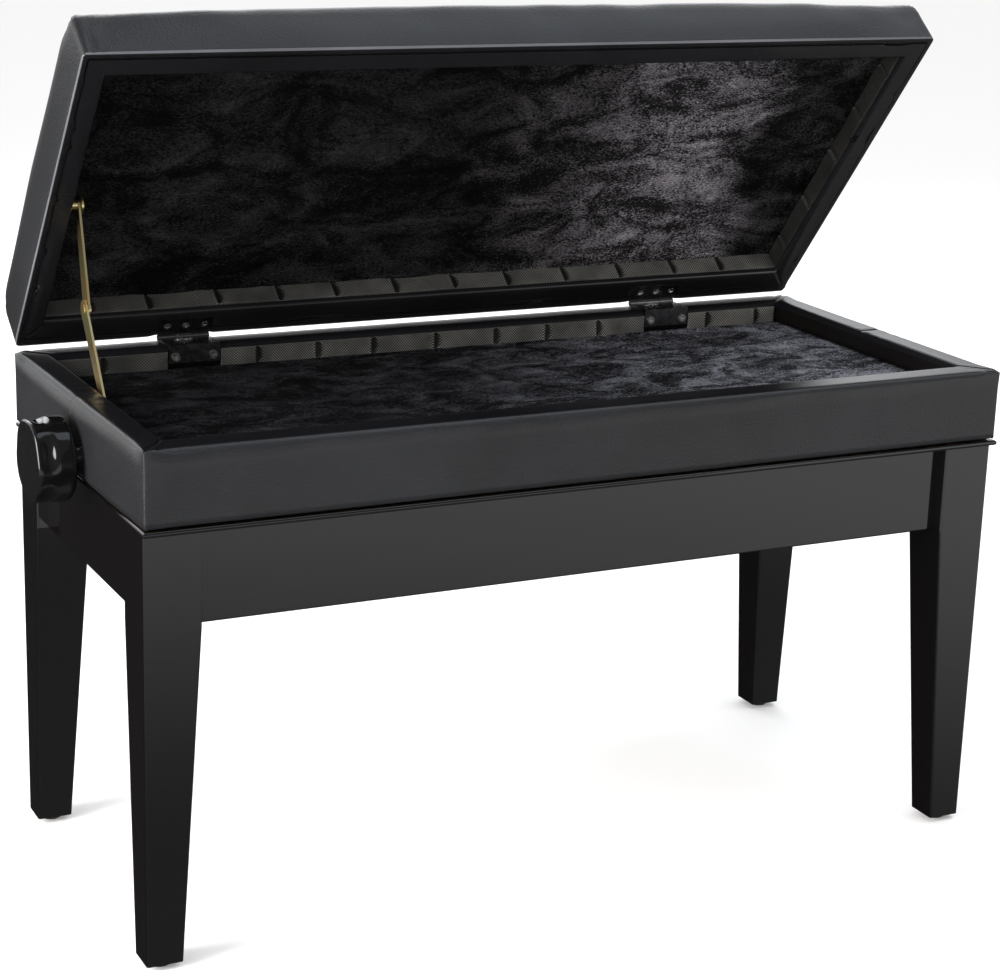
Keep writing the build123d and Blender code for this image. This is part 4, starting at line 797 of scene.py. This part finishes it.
def box_cover():
    """Vinyl round the outside of the box, over the padded rim and down inside, creased at the mitres."""
    outer = (BOX_LOW[:2], BOX_HIGH[:2])
    inner = (FLOOR_LOW[:2], FLOOR_HIGH[:2])
    bottom, top = BOX_LOW[2], BOX_HIGH[2]
    size = outer[1] - outer[0]
    xs = (grid_lines(outer[0][0], outer[1][0], 0.0045, EDGE_LINES[:5]) - outer[0][0]) / size[0]
    ys = (grid_lines(outer[0][1], outer[1][1], 0.0045, EDGE_LINES[:5]) - outer[0][1]) / size[1]
    steps = [(0.03, bottom), (0.0, bottom + 0.0006)]
    steps += [(0.0, bottom + h) for h in (0.005, 0.012, 0.02, 0.028, 0.036, 0.044)]
    turns = [pi / 2 * k / 6 for k in range(7)]
    share = BEAD / SIDE_RIM
    steps += [(share * (1 - cos(t)), top - BEAD + BEAD * sin(t)) for t in turns]
    steps += [(s, top) for s in (0.35, 0.5, 0.65)]
    steps += [(1 - share * (1 - sin(t)), top - BEAD + BEAD * cos(t)) for t in turns]
    steps += [(1.0, top - 0.009), (1.0, top - 0.014)]
    shown = len(steps)
    below = FLOOR_HIGH[2] - 0.001
    steps += [(1.0, below), (0.9, below), (0.9, top - 0.012), (0.5, top - 0.012), (0.08, top - 0.012),
              (0.05, bottom + 0.004)]
    shares = np.array([s for s, _ in steps])
    profile = [(*between(outer, inner, s), max(0.0024 * (1 - s * 1.2), 0.0006), height)
               for s, height in steps]

    def wobble(points, step):
        place = shares[step]
        seen = step < shown
        ground = points * [1, 1, 0]
        # The rounding is tighter along the rear rim and at the corners.
        turning = (step >= TURN_START) & (step < TURN_END)
        edge_x = outer[1][0] - np.abs(points[:, 0])
        edge_y = np.minimum(outer[1][1] - points[:, 1], points[:, 1] - outer[0][1])
        tight = np.maximum(1 - smooth((np.maximum(edge_x, edge_y) - 0.008) / 0.02),
                           (outer[1][1] - points[:, 1] < BEAD + 0.0003) * smooth((edge_x - 0.004) / 0.02))
        shrink = turning * tight * (1 - 0.0022 / BEAD)
        points[:, 0] += np.sign(points[:, 0]) * (edge_x < BEAD + 0.0003) * edge_x * shrink
        side_y = np.where(points[:, 1] > (outer[0][1] + outer[1][1]) / 2, 1, -1)
        points[:, 1] += side_y * (edge_y < BEAD + 0.0003) * edge_y * shrink
        points[:, 2] += (top - points[:, 2]) * shrink
        rim = np.sin(pi * np.clip(place, 0, 1)) ** 0.7
        rearward = (points[:, 1] - outer[0][1]) / size[1]
        points[:, 2] += seen * rim * (0.00005 + 0.00005 * rearward + 0.00005 * ripple(ground, 0.08, 31))
        middle = (outer[0] + outer[1]) / 2
        reach = np.abs(points[:, :2] - middle) / (outer[1] - middle)
        axis = np.where(reach[:, 0] > reach[:, 1], 0, 1)
        to_side = outer[1][0] - np.abs(points[:, 0])
        to_end = np.minimum(outer[1][1] - points[:, 1], points[:, 1] - outer[0][1])
        corner_gap = np.maximum(to_side, to_end)
        wave = 0.0004 * ripple(points, 0.16, 33) + 0.00015 * ripple(points, 0.045, 34) + 0.0004
        wave = np.maximum(wave, 0) * smooth(corner_gap / 0.02)
        wave += 0.0016 * (axis == 0) * smooth((points[:, 1] - outer[0][1]) / 0.12)
        outside = seen & (place < 0.001)
        seam = np.exp(-((points[:, 1] - middle[1] - 0.006) / 0.0009) ** 2) * (axis == 0)
        for k in (0, 1):
            outward = np.sign(points[:, k] - middle[k])
            points[:, k] += (outside & (axis == k)) * outward * (wave - 0.0007 * seam)
        rumple = np.exp(-((points[:, 1] - middle[1]) / 0.03) ** 2) * (axis == 0)
        folds = np.minimum(0.0004 * ripple(ground * [0.3, 1, 0], 0.014, 35), 0.0001)
        points[:, 2] += seen * rim * (rumple * folds - 0.0008 * seam)
        for sx in (0, 1):
            for sy in (0, 1):
                corner = np.array([outer[sx][0], outer[sy][1]])
                away = np.abs(points[:, :2] - corner)
                width = np.abs(np.array([inner[sx][0], inner[sy][1]]) - corner)
                mitre = (away[:, 0] * width[1] - away[:, 1] * width[0]) / np.linalg.norm(width)
                near = (away < width + 0.004).all(1) & seen & (place > 0.02)
                crease = np.exp(-(mitre / 0.001) ** 2) - 0.1 * np.exp(-((mitre - 0.0035) / 0.0018) ** 2) \
                    + 0.5 * np.exp(-((mitre - 0.0075) / 0.0013) ** 2)
                points[:, 2] -= near * crease * 0.0012
        return points

    outline = boundary(xs, with_lines(ys, 0.5 + 0.006 / size[1]))
    piece = ring_piece("box_cover", profile, outline, np.asarray, "seat_box", VINYL, wobble)
    piece.data.materials.append(INNER_SHADE_VINYL)
    piece.data.materials.append(RIM_VINYL)
    count = len(piece.data.vertices) // len(steps)
    for face in piece.data.polygons:
        first, last = min(v // count for v in face.vertices), max(v // count for v in face.vertices)
        # The inner wall below the rim takes the darker painted-shade vinyl.
        if first >= shown - 3 and last <= shown:
            face.material_index = 1
        elif first >= RIM_START and last <= RIM_END:
            face.material_index = 2
    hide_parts("box_vinyl_cover")
    return piece


# ---- knobs ----------------------------------------------------------------------------------
FLUTES, FLUTE_DEPTH, FLUTE_TURN = 5, 0.0044, radians(157)
KNOB_PROUD = 0.002       # the moulded face stands out past the CAD knob's flat one


def knob(side, sign):
    """Moulded knob with soft flutes in its outer half and a rounded rim."""
    low, high = corners_of(f"knob_{side}")
    radius = (high[2] - low[2]) / 2
    centre = (low[2] + high[2]) / 2
    depth = high[0] - low[0]
    middle_y = (low[1] + high[1]) / 2
    face = (low[0] if sign < 0 else high[0]) + sign * KNOB_PROUD
    depth += KNOB_PROUD
    count = 200
    angles = np.arange(count) * 2 * pi / count
    flute = (0.5 + 0.5 * np.cos(FLUTES * (angles - FLUTE_TURN))) ** 1.3
    rings = [(0.0, 0.0, 0.0), (0.0003, 0.3, 0.1), (0.0007, 0.6, 0.2), (0.001, 0.8, 0.3)]
    rounding = 0.0022
    for k in range(7):
        t = pi / 2 * k / 6
        rings.append((0.0012 + rounding * (1 - cos(t)), 1 - rounding / radius * (1 - sin(t)), 0.38))
    for share in (0.17, 0.23, 0.29, 0.35, 0.41, 0.47, 0.53, 0.6, 0.7, 0.84):
        rings.append((depth * share, 1.0, float((0.38 + 0.62 * smooth((share - 0.11) / 0.2))
                                                * (1 - smooth((share - 0.36) / 0.2)))))
    rings += [(depth - 0.0028, 1.0, 0.0), (depth - 0.0015, 0.985, 0.0), (depth, 0.93, 0.0),
              (depth, 0.45, 0.0)]
    points = [(face, middle_y, centre)]
    faces = []
    for back, share, fluted in rings[1:]:
        r = radius * share - FLUTE_DEPTH * flute * fluted
        points += [(face - sign * back, middle_y + r[i] * cos(angles[i]), centre + r[i] * sin(angles[i]))
                   for i in range(count)]
    last = len(points) - count
    points.append((face - sign * depth, middle_y, centre))
    faces += [(0, 1 + (i + 1) % count, 1 + i) for i in range(count)]
    for k in range(len(rings) - 2):
        a, b = 1 + k * count, 1 + (k + 1) * count
        faces += [(a + i, a + (i + 1) % count, b + (i + 1) % count, b + i) for i in range(count)]
    faces += [(last + i, last + (i + 1) % count, len(points) - 1) for i in range(count)]
    if sign > 0:
        faces = [f[::-1] for f in faces]
    piece = make_piece(f"fluted_knob_{side}", points, faces, "spindle", FINISHES["knob"])
    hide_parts(f"knob_{side}")


# ---- build ----------------------------------------------------------------------------------
lid_cushion()
lid_trim()
box_cover()
knob("left", -1)
knob("right", 1)
velvet_sheet("lid_velvet", LINING_LOW[:2], LINING_HIGH[:2], LINING_LOW[2], to_world, "lid", VELVET,
             "lid_lining", 0.0009, -1)
velvet_sheet("box_velvet", FLOOR_LOW[:2], FLOOR_HIGH[:2], FLOOR_HIGH[2], np.asarray, "seat_box", PILE,
             "box_floor_lining", 0.0007, 1)

WEB_LOW, WEB_HIGH = 0.0052, LINING_LOW[2]
PITCH = 0.0565
LX, LY, HX, HY = *LINING_LOW[:2], *LINING_HIGH[:2]
for label, start, end, inward, seed in (("rear", (LX, HY), (HX, HY), (0, -1), 41),
                                        ("front", (HX, LY), (LX, LY), (0, 1), 42),
                                        ("right", (HX, HY), (HX, LY), (-1, 0), 43),
                                        ("left", (LX, LY), (LX, HY), (1, 0), 44)):
    rear = label == "rear"
    # Every band but the rear one is darkened almost to black as painted shade.
    webbing_band(f"lid_webbing_{label}", start, end, WEB_LOW, WEB_HIGH, inward, to_world, "lid",
                 LID_WEBBING, PITCH, seed, ["lid_webbing_strip"] if rear else (), 0.0 if rear else 0.96)

TAPE_LOW, TAPE_HIGH = corners_of("box_webbing_strip")
EDGES = (TAPE_LOW[0], HINGE_LOW[0] - 0.001, HINGE_LOW[0] + LEAF, HINGE_HIGH[0] - LEAF,
         HINGE_HIGH[0] + 0.001, TAPE_HIGH[0])
for k, label in enumerate(("left", "middle", "right")):
    webbing_band(f"box_webbing_{label}", (EDGES[2 * k], FLOOR_HIGH[1]), (EDGES[2 * k + 1], FLOOR_HIGH[1]),
                 FLOOR_HIGH[2] + 0.0004, TAPE_HIGH[2], (0, -1), np.asarray, "seat_box", BOX_WEBBING,
                 PITCH, 51 + k, ["box_webbing_strip"] if label == "middle" else ())

# ---- floor, lights, camera ------------------------------------------------------------------
FLOOR_Z = CAD_BOX[0].z


def world_light():
    """White behind the object and in the fill; mirrored, a dark room with a lit floor in front."""
    world = bpy.data.worlds.new("studio")
    world.use_nodes = True
    tree = world.node_tree
    split = tree.nodes.new("ShaderNodeSeparateXYZ")
    tree.links.new(tree.nodes.new("ShaderNodeTexCoord").outputs["Generated"], split.inputs[0])

    def map_range(source, low, high, to_low, to_high):
        node = add_node(tree, "ShaderNodeMapRange", interpolation_type="SMOOTHSTEP")
        for socket, value in zip(MAP_SOCKETS, (low, high, to_low, to_high)):
            node.inputs[socket].default_value = value
        tree.links.new(source, node.inputs["Value"])
        return node.outputs[0]

    def product(first, second):
        node = add_node(tree, "ShaderNodeMath", operation="MULTIPLY")
        tree.links.new(first, node.inputs[0])
        tree.links.new(second, node.inputs[1])
        return node.outputs[0]

    def blend_of(factor, first, second):
        node = add_node(tree, "ShaderNodeMix", data_type="FLOAT")
        for socket, value in zip((0, 2, 3), (factor, first, second)):
            tree.links.new(value, node.inputs[socket])
        return node.outputs[0]

    front = product(map_range(split.outputs["Z"], -0.42, -0.24, 0.25, 1.35),
                    map_range(split.outputs["Z"], -0.12, 0.12, 1.0, 0.16))
    rear = product(map_range(split.outputs["Z"], -0.16, 0.06, 0.03, 1.25),
                   map_range(split.outputs["Z"], 0.5, 0.8, 1.0, 0.2))
    mirrored = blend_of(map_range(split.outputs["Y"], -0.25, 0.25, 0.0, 1.0), front, rear)
    ray = tree.nodes.new("ShaderNodeLightPath")
    fill = add_node(tree, "ShaderNodeMix", data_type="FLOAT")
    fill.inputs[2].default_value = 0.9
    tree.links.new(ray.outputs["Is Glossy Ray"], fill.inputs[0])
    tree.links.new(mirrored, fill.inputs[3])
    seen = add_node(tree, "ShaderNodeMix", data_type="FLOAT")
    seen.inputs[3].default_value = 1.0
    tree.links.new(ray.outputs["Is Camera Ray"], seen.inputs[0])
    tree.links.new(fill.outputs[0], seen.inputs[2])
    tree.links.new(seen.outputs[0], tree.nodes["Background"].inputs["Strength"])
    tree.nodes["Background"].inputs["Color"].default_value = (1.0, 1.0, 1.0, 1)
    bpy.context.scene.world = world


def studio():
    """Pale floor and soft lamps."""
    bpy.ops.mesh.primitive_plane_add(size=60, location=(0, 0, FLOOR_Z))
    floor = bpy.context.object
    floor.name = "floor"
    floor.visible_glossy = False
    material, _, paper = shader("floor_paper", (0.9, 0.9, 0.9), 0.9, specular=0.1)
    paper.inputs["Emission Color"].default_value = (1, 1, 1, 1)
    paper.inputs["Emission Strength"].default_value = 0.12
    floor.data.materials.append(material)
    world_light()
    # Name, place, width, height, power and colour.
    lamps = (("left_softbox", (-2.5, -0.35, 1.0), 1.6, 1.6, 125, (1.0, 0.98, 0.94)),
             ("top_softbox", (0.9, -0.2, 2.6), 2.2, 1.6, 17, (0.8, 0.88, 1.0)),
             ("right_softbox", (2.0, -2.2, 1.0), 1.2, 1.2, 8, (1.0, 0.97, 0.98)),
             ("rear_softbox", (0.6, 2.6, 1.7), 3.4, 1.4, 36, (0.93, 0.96, 1.0)))
    for name, place, width, height, power, colour in lamps:
        light = bpy.data.lights.new(name, "AREA")
        light.shape = "RECTANGLE"
        light.size, light.size_y, light.energy, light.color = width, height, power, colour
        lamp = bpy.data.objects.new(name, light)
        bpy.context.scene.collection.objects.link(lamp)
        lamp.location = place
        lamp.visible_camera = False
        lamp.rotation_euler = (Vector((0, 0, 0.4)) - Vector(place)).to_track_quat("-Z", "Y").to_euler()


def camera():
    """The reference view, with its slight roll."""
    azimuth, elevation, roll = radians(-26.772), radians(16.054), radians(1.795)
    middle_y = (BOX_LOW[1] + BOX_HIGH[1]) / 2
    right = Vector((cos(azimuth), sin(azimuth), 0))
    back = Vector((sin(azimuth) * cos(elevation), -cos(azimuth) * cos(elevation), sin(elevation)))
    up = back.cross(right)
    rolled_right = right * cos(roll) + up * sin(roll)
    rolled_up = up * cos(roll) - right * sin(roll)
    data = bpy.data.cameras.new("camera")
    data.lens, data.sensor_width = 85.95, 36
    data.clip_start, data.clip_end = 0.05, 200
    view = bpy.data.objects.new("camera", data)
    bpy.context.scene.collection.objects.link(view)
    turn = Matrix((rolled_right, rolled_up, back)).transposed().to_4x4()
    view.matrix_world = Matrix.Translation((-0.892, -1.7506 + middle_y, 0.8717)) @ turn
    bpy.context.scene.camera = view


studio()
camera()
bpy.context.scene.view_settings.view_transform = "Standard"
